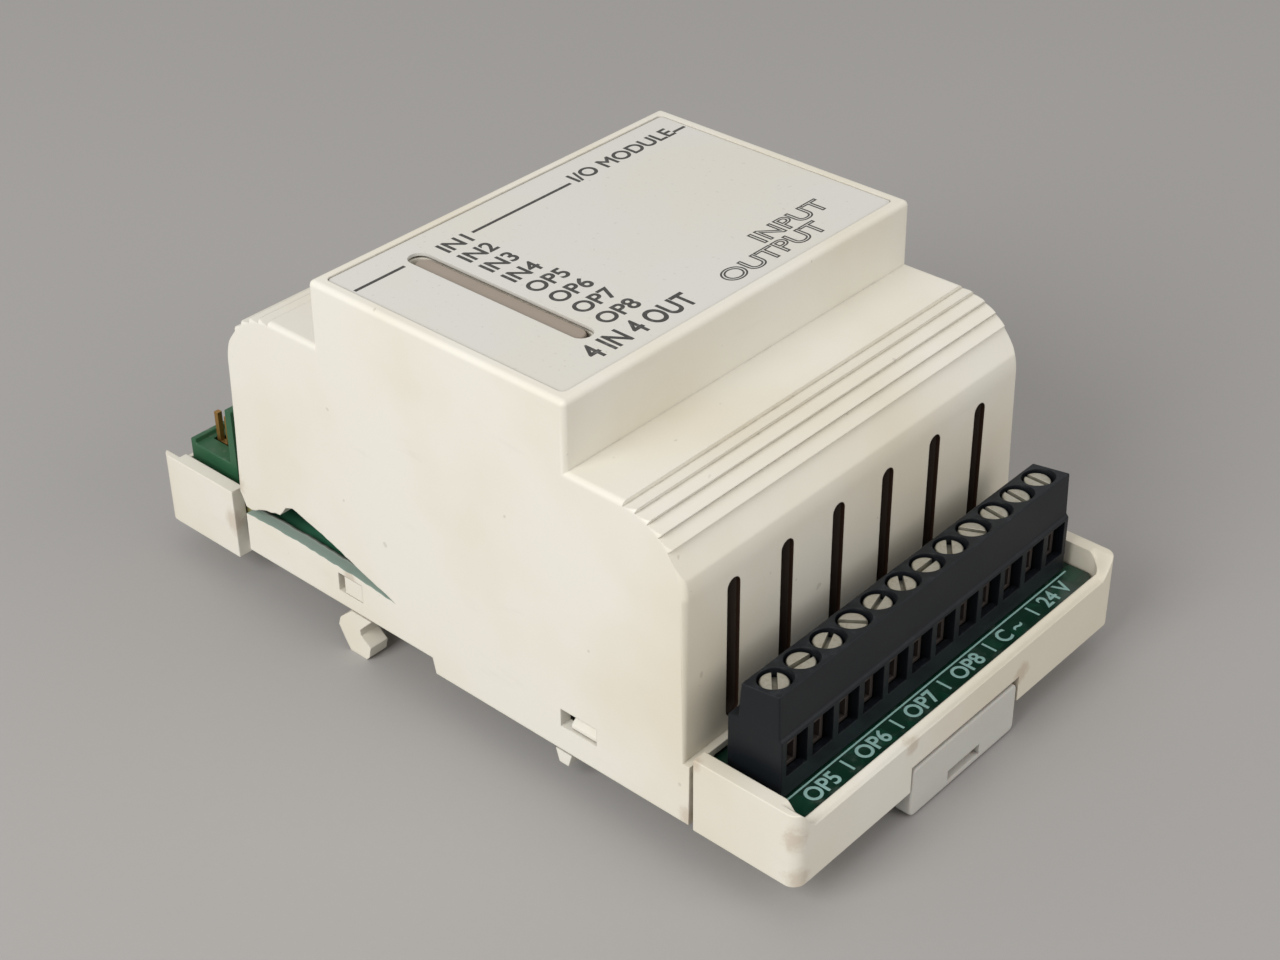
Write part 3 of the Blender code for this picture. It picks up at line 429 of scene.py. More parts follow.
def label_film(settings):
    made = Finish("label_film", {"Specular IOR Level": 0.4})
    cloud = made.noise(45.0, 3.0)
    dust = made.band(made.noise(1400.0, 2.0), 0.66, 0.72)
    ground = made.mix(made.band(cloud, 0.35, 0.75) * 0.35, settings.film, settings.yellowed)
    # Painted shade in the corners round the film, from ambient occlusion, with specks of dust
    # over it.
    dirt_and_shade = made.corners(0.9 * MM, 1.1) * 0.85
    ground = made.mix(dirt_and_shade.most(dust * 0.12), ground, settings.grime_and_shade)
    made.set("Base Color", ground)
    made.set("Roughness", 0.34 + 0.16 * cloud)
    weave = made.noise(2600.0, 1.0)
    made.relief(weave, 0.010 * MM, 0.6, edge=0.12 * MM)
    return made.material


def print_ink(name, tint, worn=0.35):
    """Screen print: it thins where it has been rubbed."""
    made = Finish(name)
    rub = made.band(made.noise(900.0, 4.0, rough=0.7), 0.52, 0.74) * worn
    made.set("Base Color", made.mix(rub, tint, tuple(0.55 * c + 0.28 for c in tint)))
    made.set("Roughness", 0.45 + 0.2 * rub)
    made.relief(made.noise(3000.0), 0.006 * MM, 0.5)
    return made.material


def smoked_guide(settings):
    made = Finish("smoked_guide", {"Coat Weight": 0.25, "Coat Roughness": 0.2})
    haze = made.noise(140.0, 3.0)
    rib = made.band(made.noise(1.0, 1.0, made.stretch(10.0, 700.0, 10.0)), 0.4, 0.6)
    tint = made.mix(haze * 0.6, settings.guide, tuple(c * 0.72 for c in settings.guide))
    # Painted shade in the guide's corners, from ambient occlusion.
    tint = made.mix(made.corners(1.2 * MM, 1.0) * 0.7, tint, settings.grime_and_shade)
    made.set("Base Color", tint)
    made.set("Roughness", 0.28 + 0.25 * haze)
    made.relief(rib, 0.02 * MM, 0.4, edge=0.15 * MM)
    return made.material


def block_plastic(settings):
    """Near-black moulding, bluish, with dust on what faces up."""
    made = Finish("block_plastic", {"Specular IOR Level": 0.32})
    cloud = made.noise(70.0, 3.0)
    dust = made.band(made.noise(620.0, 5.0, rough=0.7), 0.47, 0.78)
    settled = made.band(made.facing("Z"), 0.2, 0.95) * dust * 0.16
    base = made.mix(cloud * 0.4, settings.block, tuple(c * 1.4 for c in settings.block))
    # Painted shade: near-black in the corners, bores and wire entries, from ambient occlusion.
    base = made.mix(made.corners(1.4 * MM, 1.0) * 0.7, base, (0.004, 0.0045, 0.005))
    base = made.mix(settled, base, srgb(92, 102, 112))
    made.set("Base Color", base)
    made.set("Roughness", 0.36 + 0.22 * cloud + 0.3 * settled)
    grain = made.noise(3400.0, 2.0) + 0.4 * dust
    made.relief(grain, 0.012 * MM, 0.7, edge=0.16 * MM)
    return made.material


def nickel_plate(settings):
    """Dull nickel with tarnish, and fine marks from a screwdriver."""
    made = Finish("nickel_plate")
    tarnish = made.band(made.noise(650.0, 4.0, rough=0.65), 0.42, 0.72)
    turned = made.noise(1.0, 3.0, made.stretch(1400.0, 5200.0, 900.0))
    base = made.mix(tarnish * 0.55, settings.nickel, srgb(134, 122, 96))
    # Painted shade: dark brown in the slot and the corners, from ambient occlusion.
    base = made.mix(made.corners(0.7 * MM, 1.0) * 0.9, base, srgb(46, 42, 32))
    made.set("Base Color", base)
    made.set("Metallic", 0.9 - 0.35 * tarnish)
    made.set("Roughness", 0.34 + 0.22 * tarnish + 0.08 * turned)
    made.relief(turned + 0.5 * tarnish, 0.012 * MM, 0.6, edge=0.1 * MM)
    return made.material


def solder_resist(settings):
    """Green lacquer over fine copper tracks, with painted shade in its corners and painted light
    on the -X side.
    """
    made = Finish("solder_resist", {"Coat Weight": 0.35, "Coat Roughness": 0.15})
    across = made.noise(1.0, 0.0, made.stretch(420.0, 60.0, 1.0))
    tracks = made.node(
        "ShaderNodeTexVoronoi",
        {"feature": "DISTANCE_TO_EDGE", "distance": "CHEBYCHEV"},
        {"Vector": made.stretch(260.0, 190.0, 1.0), "Scale": 1.0, "Randomness": 0.65},
    )
    copper = made.band(tracks, 0.13, 0.17)
    base = made.mix(
        copper * (0.35 + 0.3 * across), tuple(c * 0.62 for c in settings.resist),
        tuple(c * 1.35 for c in settings.resist),
    )
    # Painted light: the top near the -X side, seen through the broken skirt, is made a lighter
    # green. The bare glass fibre shows at the cut edges.
    edge = 1.0 - made.band(made.axis("X"), -31.5 * MM, -28.0 * MM)
    base = made.mix(edge * made.band(made.axis("Y"), 0.0, 5 * MM), base, srgb(66, 136, 104))
    side = 1.0 - made.band(made.facing("Z") * made.facing("Z"), 0.2, 0.6)
    base = made.mix(side, base, srgb(150, 146, 96))
    dust = made.band(made.noise(500.0, 5.0, rough=0.7), 0.50, 0.80)
    # Painted shade: dark green in the board's corners, from ambient occlusion.
    dirt_and_shade = made.corners(1.6 * MM, 1.0) * 0.6
    base = made.mix(dirt_and_shade, base, srgb(12, 26, 20))
    base = made.mix(dust * 0.18, base, srgb(140, 150, 140))
    made.set("Base Color", base)
    made.set("Roughness", 0.28 + 0.35 * dust)
    made.relief(copper, 0.035 * MM, 0.6)
    return made.material


def plain_moulding(name, tint, roughness, dust=0.2, metallic=0.0):
    """A moulding or plated part of one colour: mottled, dusty and fine-grained."""
    made = Finish(name, {"Metallic": metallic})
    cloud = made.noise(120.0, 3.0)
    fine = made.band(made.noise(700.0, 5.0, rough=0.7), 0.48, 0.78)
    base = made.mix(cloud * 0.6, tint, tuple(min(1.0, c * 1.45 + 0.004) for c in tint))
    # Painted shade: a fifth of the tint in the corners, from ambient occlusion.
    base = made.mix(made.corners(1.2 * MM, 1.0) * 0.6, base, tuple(c * 0.2 for c in tint))
    settled = made.band(made.facing("Z"), 0.1, 0.95) * fine * dust
    base = made.mix(settled, base, srgb(150, 144, 132))
    made.set("Base Color", base)
    made.set("Roughness", roughness + 0.14 * cloud + 0.25 * settled)
    made.relief(made.noise(2800.0, 2.0), 0.012 * MM, 0.6, edge=0.12 * MM)
    return made.material


def natural_nylon(settings):
    made = Finish(
        "natural_nylon", {"Subsurface Weight": 0.12, "Subsurface Scale": 0.0015}
    )
    flow = made.noise(1.0, 3.0, made.stretch(60.0, 200.0, 160.0))
    base = made.mix(flow * 0.7, settings.nylon, tuple(c * 0.8 for c in settings.nylon))
    # Painted shade in the latch's corners, from ambient occlusion.
    base = made.mix(made.corners(1.0 * MM, 1.1) * 0.8, base, settings.grime_and_shade)
    made.set("Base Color", base)
    made.set("Roughness", 0.36 + 0.2 * flow)
    made.relief(made.noise(2200.0, 2.0) + flow, 0.012 * MM, 0.6, edge=0.2 * MM)
    return made.material


def floor_finish(settings):
    made = Finish("floor_finish", {"Specular IOR Level": 0.25})
    cloud = made.noise(6.0, 2.0)
    fine = made.noise(900.0, 2.0)
    tint = tuple(c * 0.94 for c in settings.floor)
    made.set("Base Color", made.mix(cloud * 0.5 + fine * 0.3, settings.floor, tint))
    made.set("Roughness", 0.55 + 0.1 * cloud)
    made.relief(fine, 0.01 * MM, 0.3)
    return made.material


# --------------------------------------------------------------------------
# Shapes
# --------------------------------------------------------------------------


def add_prism(shape, outline, axis, low, high):
    """Extrudes a closed outline, in the plane of the other two axes, from low to high."""
    def point(first, second, along):
        values = [first, second]
        values.insert("XYZ".index(axis), along)
        return values

    corners = [shape.verts.new(point(a, b, low)) for a, b in outline]
    base = shape.faces.new(corners)
    raised = bmesh.ops.extrude_face_region(shape, geom=[base])["geom"]
    moved = [item for item in raised if isinstance(item, bmesh.types.BMVert)]
    shift = [0.0, 0.0, 0.0]
    shift["XYZ".index(axis)] = high - low
    bmesh.ops.translate(shape, verts=moved, vec=shift)


def add_box(shape, low, high):
    outline = [(low[0], low[1]), (high[0], low[1]), (high[0], high[1]), (low[0], high[1])]
    add_prism(shape, outline, "Z", low[2], high[2])


def add_turned(shape, profile, centre, steps=40):
    """Turns (radius, height) pairs about a vertical axis through centre."""
    rings = []
    for radius, height in profile:
        rings.append(
            [
                shape.verts.new(
                    (
                        centre[0] + radius * math.cos(2.0 * math.pi * step / steps),
                        centre[1] + radius * math.sin(2.0 * math.pi * step / steps),
                        height,
                    )
                )
                for step in range(steps)
            ]
        )
    for lower, upper in zip(rings, rings[1:]):
        for step in range(steps):
            after = (step + 1) % steps
            shape.faces.new((lower[step], lower[after], upper[after], upper[step]))
    shape.faces.new(rings[0])
    shape.faces.new(rings[-1])


def arc(centre, radius, start, end, steps):
    """Points along a circular arc, with angles in degrees."""
    return [
        (
            centre[0] + radius * math.cos(math.radians(start + (end - start) * step / steps)),
            centre[1] + radius * math.sin(math.radians(start + (end - start) * step / steps)),
        )
        for step in range(steps + 1)
    ]


def rounded_rectangle(low, high, radius, steps=8):
    left, bottom = low[0] + radius, low[1] + radius
    right, top = high[0] - radius, high[1] - radius
    return (
        arc((right, bottom), radius, -90, 0, steps)
        + arc((right, top), radius, 0, 90, steps)
        + arc((left, top), radius, 90, 180, steps)
        + arc((left, bottom), radius, 180, 270, steps)
    )


def as_mesh(shape, name):
    """Turns a bmesh into a mesh with outward normals and frees the bmesh."""
    bmesh.ops.recalc_face_normals(shape, faces=shape.faces)
    mesh = bpy.data.meshes.new(name)
    shape.to_mesh(mesh)
    shape.free()
    return mesh


def prism(name, outline, axis, low, high):
    shape = bmesh.new()
    add_prism(shape, outline, axis, low, high)
    return as_mesh(shape, name)


def box(name, low, high):
    shape = bmesh.new()
    add_box(shape, low, high)
    return as_mesh(shape, name)


def show(name, mesh):
    made = bpy.data.objects.new(name, mesh)
    bpy.context.scene.collection.objects.link(made)
    return made


class Workpiece:
    """A solid that is cut and joined until it is finished, and then takes its place."""

    def __init__(self, name, mesh):
        self.shape = show(name, mesh)
        self.helpers = []

    def combine(self, mesh, operation):
        helper = show(mesh.name, mesh)
        self.helpers.append(helper)
        modifier = self.shape.modifiers.new(mesh.name, "BOOLEAN")
        modifier.operation = operation
        modifier.object = helper
        modifier.solver = "EXACT"

    def cut(self, mesh):
        self.combine(mesh, "DIFFERENCE")

    def join(self, mesh):
        self.combine(mesh, "UNION")

    def round_edges(self, width, segments=4, angle=None):
        """Rounds the edges that carry a weight, or those sharper than an angle."""
        modifier = self.shape.modifiers.new("rounding", "BEVEL")
        modifier.width = width
        modifier.segments = segments
        if angle is None:
            modifier.limit_method = "WEIGHT"
        else:
            modifier.limit_method = "ANGLE"
            modifier.angle_limit = math.radians(angle)
        modifier.use_clamp_overlap = True

    def finish(self, paint, body, slot, *replaced):
        """Applies everything, paints the piece and hangs it on its body."""
        graph = bpy.context.evaluated_depsgraph_get()
        settled = bpy.data.meshes.new_from_object(self.shape.evaluated_get(graph))
        self.shape.modifiers.clear()
        self.shape.data = settled
        for helper in self.helpers:
            bpy.data.objects.remove(helper, do_unlink=True)
        if not settled.polygons:
            raise RuntimeError(f"{self.shape.name} came out empty")
        settled.materials.clear()
        settled.materials.append(paint)
        settled.shade_smooth()
        settled.set_sharp_from_angle(angle=math.radians(35))
        weighted = self.shape.modifiers.new("flat_faces", "WEIGHTED_NORMAL")
        weighted.keep_sharp = True
        hang(self.shape, body, slot, *replaced)


def hang(piece, body, slot, *replaced):
    """Puts a piece on a body, in place of the nodes it replaces. The slot is not used."""
    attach(piece, body)
    if replaced:
        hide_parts(*replaced)


def keep(node, paint, round_width, segments=2):
    """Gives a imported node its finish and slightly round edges."""
    piece = NODES[node]
    for place in piece.material_slots:
        place.link = "OBJECT"
        place.material = paint
    rounding = piece.modifiers.new("rounding", "BEVEL")
    rounding.width = round_width
    rounding.segments = segments
    rounding.limit_method = "ANGLE"
    rounding.angle_limit = math.radians(40)


def mark_edges(shape, chosen):
    """Gives a bevel weight to the edges for which chosen(first, second) is true."""
    weight = shape.edges.layers.float.new("bevel_weight_edge")
    for edge in shape.edges:
        first, second = (vertex.co for vertex in edge.verts)
        if chosen(first, second):
            edge[weight] = 1.0


def near(value, target, within=0.05 * MM):
    return abs(value - target) < within


def lettering(name, lines, height_z, paint, body, slot, thickness=0.02 * MM):
    """Printed words as one thin solid mesh. Each line is (text, x, y, height, width
    factor, outline) and starts at x, y; outline 0 fills the letters."""
    shape = bmesh.new()
    for text, x, y, letter_height, stretch, outline in lines:
        curve = bpy.data.curves.new(name, "FONT")
        curve.body = text
        curve.size = letter_height / 0.70
        if outline:
            curve.fill_mode = "NONE"
            curve.bevel_depth = outline
            curve.bevel_resolution = 1
        else:
            outline = 0.036 * letter_height
            curve.bevel_depth = outline
            curve.bevel_resolution = 0
        maker = show(name, curve)
        bpy.context.view_layer.update()
        graph = bpy.context.evaluated_depsgraph_get()
        mesh = bpy.data.meshes.new_from_object(maker.evaluated_get(graph))
        flat = thickness / (2 * outline)
        mesh.transform(
            Matrix.Translation((x, y, height_z)) @ Matrix.Diagonal((stretch, 1.0, flat, 1.0))
        )
        shape.from_mesh(mesh)
        bpy.data.objects.remove(maker, do_unlink=True)
        bpy.data.curves.remove(curve)
    bmesh.ops.remove_doubles(shape, verts=shape.verts, dist=1e-7)
    loose = [vertex for vertex in shape.verts if not vertex.link_faces]
    bmesh.ops.delete(shape, geom=loose, context="VERTS")
    mesh = as_mesh(shape, name)
    mesh.materials.clear()
    mesh.materials.append(paint)
    hang(show(name, mesh), body, slot)


# --------------------------------------------------------------------------
# The cover
# --------------------------------------------------------------------------


def lean_in(shape):
    """Leans the two side faces in towards the top."""
    for vertex in shape.verts:
        rise = vertex.co.z - UNDERSIDE
        vertex.co.x -= math.copysign(rise * SIDE_DRAFT, vertex.co.x)


def cover_sides(case):
    """The cover's outline in Y and Z, from the skirts to the nose."""
    skirt, length = SKIRT_HALF_LENGTH, SHOULDER_OUTER
    radius, top = case.shoulder_radius, UNDERSIDE + case.shoulder_top
    centre = length - radius
    nose = case.nose_half_length
    outline = [
        (-skirt, up(0.4)), (2.2 * MM, up(0.4)), (2.8 * MM, up(2.8)), (skirt, up(2.8)),
        (skirt, up(SKIRT_TOP)), (length, up(SKIRT_TOP)),
    ]
    outline += arc((centre, top - radius), radius, 0, 90, 24)
    outline += [(nose, top), (nose, HEIGHT), (-nose, HEIGHT), (-nose, top)]
    outline += arc((-centre, top - radius), radius, 90, 180, 24)
    outline += [(-length, up(SKIRT_TOP)), (-skirt, up(SKIRT_TOP))]
    return outline


def cover_hollow(case):
    length, wall = SHOULDER_OUTER, case.wall
    radius, top = case.shoulder_radius, UNDERSIDE + case.shoulder_top
    centre, nose = length - radius, case.nose_half_length - wall
    return (
        [(wall - length, up(-2)), (length - wall, up(-2))]
        + arc((centre, top - radius), radius - wall, 0, 90, 16)
        + [(nose, top - wall), (nose, HEIGHT - wall), (-nose, HEIGHT - wall), (-nose, top - wall)]
        + arc((-centre, top - radius), radius - wall, 90, 180, 16)
    )


def cover_step(case, side):
    """What the five steps take off one shoulder, in Y and Z."""
    radius = case.shoulder_radius
    centre_y = SHOULDER_OUTER - radius
    centre_z = UNDERSIDE + case.shoulder_top - radius

    def spot(reach, angle):
        lean = math.radians(angle)
        return side * (centre_y + reach * math.sin(lean)), centre_z + reach * math.cos(lean)

    outline = []
    for angle, following in zip(STEP_ANGLES, STEP_ANGLES[1:]):
        outline.append(spot(radius - case.step_drop, angle))
        outline.append(spot(radius - 0.05 * MM, following))
    outline.append(spot(radius - case.step_drop, STEP_ANGLES[-1]))
    outline.append(spot(radius + 0.1 * MM, STEP_END_ANGLE))
    outline += [
        spot(radius + 2 * MM, angle) for angle in reversed((*STEP_ANGLES, STEP_END_ANGLE))
    ]
    return outline


def broken_edge():
    """The broken patch of the skirt, in Y and Z, with a ragged edge."""
    strip = [(-0.9, 1.0), (2.1, 1.0), (2.0, 9.0), (7.6, 9.3), (13.9, 9.3), (26.2, 8.9)]
    tip = [(33.1, 8.3)]
    edge = [(20.6, 12.5), (16.6, 13.6), (12.6, 14.6), (11.1, 14.0), (9.7, 12.2)]
    flap = [(6.8, 11.6), (3.3, 10.2), (2.2, 10.3), (1.4, 12.0), (0.6, 13.8), (-0.9, 14.0)]
    path = strip + tip + edge + flap
    jag = random.Random(5)
    ragged = []
    for (back, height), (next_back, next_height) in zip(path, path[1:]):
        ragged.append((back, height))
        pieces = max(1, int(math.hypot(next_back - back, next_height - height) / 0.9))
        for step in range(1, pieces):
            along = step / pieces
            ragged.append(
                (
                    back + (next_back - back) * along,
                    height + (next_height - height) * along + jag.uniform(-0.10, 0.10),
                )
            )
    ragged.append(path[-1])
    return [(SKIRT_HALF_LENGTH - back * MM, up(height)) for back, height in ragged]


def slot_outline(half_width):
    """The light slot, in X and Y, with round ends."""
    low, high = -14.3 * MM + half_width, 17.5 * MM - half_width
    return arc((LIGHT_X, high), half_width, 0, 180, 14) + arc(
        (LIGHT_X, low), half_width, 180, 360, 14
    )


def nose_half_width():
    return HALF_WIDTH - (HEIGHT - UNDERSIDE) * SIDE_DRAFT


def build_cover(case):
    shape = bmesh.new()
    add_prism(shape, cover_sides(case), "X", -HALF_WIDTH, HALF_WIDTH)
    lean_in(shape)

    def rounded(first, second):
        above = min(first.z, second.z) > up(SKIRT_TOP) - 0.1 * MM
        on_side = first.x * second.x > 0 and above
        at_skirt = near(first.z, up(SKIRT_TOP)) and near(second.z, up(SKIRT_TOP))
        nose_edge = first.x * second.x < 0 and min(first.z, second.z) > HEIGHT - 0.1 * MM
        return (on_side and not at_skirt) or nose_edge

    mark_edges(shape, rounded)
    cover = Workpiece("cover_moulding", as_mesh(shape, "cover_moulding"))
    cover.round_edges(case.edge_round, 4)

    inner = HALF_WIDTH - case.wall
    shape = bmesh.new()
    add_prism(shape, cover_hollow(case), "X", -inner, inner)
    lean_in(shape)
    cover.cut(as_mesh(shape, "cover_hollow"))
    cover.cut(
        box("skirt_opening", (-inner, -HALF_LENGTH, up(-2)), (inner, HALF_LENGTH, up(8.6)))
    )

    shape = bmesh.new()
    for side in (-1, 1):
        reach = HALF_WIDTH + 1 * MM
        add_prism(shape, cover_step(case, side), "X", -reach, reach)
    cover.cut(as_mesh(shape, "shoulder_steps"))

    shape = bmesh.new()
    half = case.vent_width / 2
    for vent in range(VENTS):
        x = (vent - (VENTS - 1) / 2) * case.vent_pitch
        outline = arc((x, up(VENT_TOP) - half), half, 0, 180, 14) + arc(
            (x, up(VENT_LOW) + half), half, 180, 360, 14
        )
        add_prism(shape, outline, "Y", -HALF_LENGTH, HALF_LENGTH)
    cover.cut(as_mesh(shape, "cooling_slots"))

    shape = bmesh.new()
    for side in (-1, 1):
        inside, outside = side * (HALF_WIDTH - 2 * case.wall), side * (HALF_WIDTH + 1 * MM)
        for centre, length, low, high in SNAPS:
            window = rounded_rectangle(
                ((centre - length / 2) * MM, up(low)), ((centre + length / 2) * MM, up(high)),
                0.12 * MM, 3,
            )
            add_prism(shape, window, "X", min(inside, outside), max(inside, outside))
    cover.cut(as_mesh(shape, "catch_windows"))

    border, nose = case.label_border + GAP - 0.06 * MM, case.nose_half_length
    recess = rounded_rectangle(
        (border - nose_half_width(), border - nose),
        (nose_half_width() - border, nose - border),
        0.86 * MM,
    )
    cover.cut(prism("label_recess", recess, "Z", HEIGHT - 0.95 * MM, HEIGHT + 1 * MM))
    cover.cut(
        prism("light_slot", slot_outline(case.slot_width / 2), "Z", HEIGHT - 3 * MM, HEIGHT)
    )
    cover.cut(
        prism(
            "broken_skirt", broken_edge(), "X", -HALF_WIDTH - 1 * MM,
            -HALF_WIDTH + case.wall + GAP,
        )
    )
    worn = (
        (-HALF_WIDTH, -SKIRT_HALF_LENGTH, up(1.5), 2.2 * MM),
        (-HALF_WIDTH, SKIRT_HALF_LENGTH - 0.5 * MM, up(14.0), 2.4 * MM),
        (-HALF_WIDTH, 19.0 * MM, up(8.5), 1.6 * MM),
    )
    paint = moulded_ivory("cover_ivory", case, marks=worn, openings=True)
    cover.finish(paint, "base", "cover", "top_cover")


# --------------------------------------------------------------------------
# The tray
# --------------------------------------------------------------------------


def hook_sides():
    """The rail hook's outline, in Y and Z."""
    throat = 17.5
    pairs = [
        (throat - 2.5, 2.5), (throat, -0.1), (throat - 0.1, -1.0), (throat - 1.9, -2.4),
        (throat - 1.5, -4.1), (throat - 0.9, -4.8), (throat + 2.4, -4.8),
        (throat + 3.3, -3.4), (throat + 4.5, -1.2), (throat + 4.0, 0.3), (throat + 1.5, 2.5),
    ]
    return [(y * MM, up(z)) for y, z in pairs]


def add_end_wall_cut(shape, side, steps):
    """The space above one end wall. Its underside rises to the side rims and inwards."""
    curve = END_WALL_CURVE
    limit_x, limit_y = HALF_WIDTH - END_WALL_MARGIN, HALF_LENGTH - END_WALL_MARGIN
    across = [limit_x - curve * step / steps for step in range(steps + 1)]
    across = [-HALF_WIDTH - 1 * MM] + [-x for x in across] + across[::-1] + [HALF_WIDTH + 1 * MM]
    along = [limit_y - curve * (1 - step / steps) for step in range(steps + 1)]
    along.append(HALF_LENGTH + 1 * MM)

    def smooth_share(value):
        value = min(1.0, max(0.0, value))
        return value * value * (3 - 2 * value)

    def height(x, y):
        beside = smooth_share((abs(x) - limit_x) / curve + 1)
        before = smooth_share((limit_y - y) / curve)
        return up(END_WALL_TOP + (RIM_TOP - END_WALL_TOP + 0.05) * max(beside, before))

    lower = [[shape.verts.new((x, side * y, height(x, y))) for x in across] for y in along]
    ceiling = up(RIM_TOP + 1)
    upper = [[shape.verts.new((x, side * y, ceiling)) for x in across] for y in along]
    rows, columns = len(along), len(across)
    for grid in (lower, upper):
        for row in range(rows - 1):
            for column in range(columns - 1):
                first, second = grid[row], grid[row + 1]
                shape.faces.new(
                    (first[column], first[column + 1], second[column + 1], second[column])
                )
    rim = [(0, column) for column in range(columns)]
    rim += [(row, columns - 1) for row in range(1, rows)]
    rim += [(rows - 1, column) for column in range(columns - 2, -1, -1)]
    rim += [(row, 0) for row in range(rows - 2, 0, -1)]
    for (row, column), (next_row, next_column) in zip(rim, rim[1:] + rim[:1]):
        shape.faces.new(
            (
                lower[row][column], lower[next_row][next_column],
                upper[next_row][next_column], upper[row][column],
            )
        )


def build_tray(case):
    plan = rounded_rectangle(
        (-HALF_WIDTH, -HALF_LENGTH), (HALF_WIDTH, HALF_LENGTH), 1.8 * MM, 10
    )
    shape = bmesh.new()
    add_prism(shape, plan, "Z", up(0), up(RIM_TOP))
    tray = Workpiece("tray_moulding", as_mesh(shape, "tray_moulding"))

    block_start = SKIRT_HALF_LENGTH + 0.7 * MM
    shape = bmesh.new()
    for side in (-1, 1):
        inner, outer = side * TAB_OUTER, side * (HALF_WIDTH + 1 * MM)
        add_box(
            shape, (min(inner, outer), -block_start, up(-1)),
            (max(inner, outer), block_start, up(20)),
        )
    tray.cut(as_mesh(shape, "tray_sides"))

    shape = bmesh.new()
    for side in (-1, 1):
        add_end_wall_cut(shape, side, 14)
    tray.cut(as_mesh(shape, "end_walls"))
    tray.round_edges(0.5 * MM, 3, 40.0)

    end = HALF_LENGTH - 1.4 * MM
    pocket = rounded_rectangle(
        (-HALF_WIDTH + 2.1 * MM, -end), (HALF_WIDTH - 2.1 * MM, end), 1.2 * MM
    )
    tray.cut(prism("tray_pocket", pocket, "Z", up(2), up(20)))

    notch = corner("rail_latch", 1, "X") + GAP
    tray.cut(
        box(
            "latch_notch", (-notch, -HALF_LENGTH - 1 * MM, up(-1)),
            (notch, -HALF_LENGTH + 2.6 * MM, up(4.1)),
        )
    )

    shape = bmesh.new()
    rests = ((-22.8, 0.1), (-22.2, -1.9), (-20.6, -1.9), (-20.0, 0.1))
    for side in (-1, 1):
        outer = side * HALF_WIDTH
        inner = side * (HALF_WIDTH - 3.2 * MM)
        add_prism(shape, hook_sides(), "X", min(outer, inner), max(outer, inner))
        inner = side * (HALF_WIDTH - 4.0 * MM)
        rest = [(y * MM, up(z)) for y, z in rests]
        add_prism(shape, rest, "X", min(outer, inner), max(outer, inner))
    tray.join(as_mesh(shape, "hooks_and_rests"))

    shape = bmesh.new()
    for side in (-1, 1):
        root, face = TAB_OUTER - 1.2 * MM, TAB_OUTER
        for centre, length, low, high in SNAPS:
            # The lug by the latch slopes back; the far one fills its window.
            margin, slope, open_end, tip = 0.3, 0.5, 1.5, HALF_WIDTH - 0.5 * MM
            if centre > 0:
                margin, slope, open_end = 0.08, high - low - 0.2, 1.2
                tip = HALF_WIDTH - 0.2 * MM
            low, high = low + margin, high - margin
            lug = [
                (root, up(0.5)), (face, up(0.5)), (face, up(low)), (tip, up(low)),
                (tip, up(low + slope)), (face, up(high)), (root, up(high)),
            ]
            lug = [(side * x, z) for x, z in lug]
            add_prism(
                shape, lug, "Y", (centre - length / 2 + margin) * MM,
                (centre + length / 2 - open_end) * MM,
            )
    tray.join(as_mesh(shape, "catch_lugs"))

    shape = bmesh.new()
    for x in (-POST_X, POST_X):
        for y in (-POST_Y, 0.0, POST_Y):
            add_box(
                shape, (x - 2.5 * MM, y - 2.5 * MM, up(1)), (x + 2.5 * MM, y + 2.5 * MM, up(6.1))
            )
    tray.join(as_mesh(shape, "board_posts"))

    shape = bmesh.new()
    for side in (-1, 1):
        guide = [(7.3, 1.0), (7.3, -3.5), (5.8, -3.5), (5.8, -4.5), (9.1, -4.5), (9.1, 1.0)]
        guide = [(side * x * MM, up(z)) for x, z in guide]
        add_prism(shape, guide, "Y", -HALF_LENGTH + 13.5 * MM, -26.0 * MM)
    tray.join(as_mesh(shape, "latch_guides"))

    worn = (
        (-HALF_WIDTH, -HALF_LENGTH, up(7.5), 3.0 * MM),
        (-HALF_WIDTH + 0.5 * MM, -HALF_LENGTH, up(1.0), 2.6 * MM),
        (12.5 * MM, -HALF_LENGTH, up(4.5), 2.2 * MM),
        (-12.0 * MM, -HALF_LENGTH, up(8.0), 1.8 * MM),
        (-HALF_WIDTH, -43.3 * MM, up(11.0), 1.6 * MM),
        (-HALF_WIDTH, 43.6 * MM, up(6.0), 2.6 * MM),
    )
    paint = moulded_ivory("tray_ivory", case, 1.15, worn)
    tray.finish(paint, "base", "case", "base_tray")


# --------------------------------------------------------------------------
# The label, its print and the light guide
# --------------------------------------------------------------------------


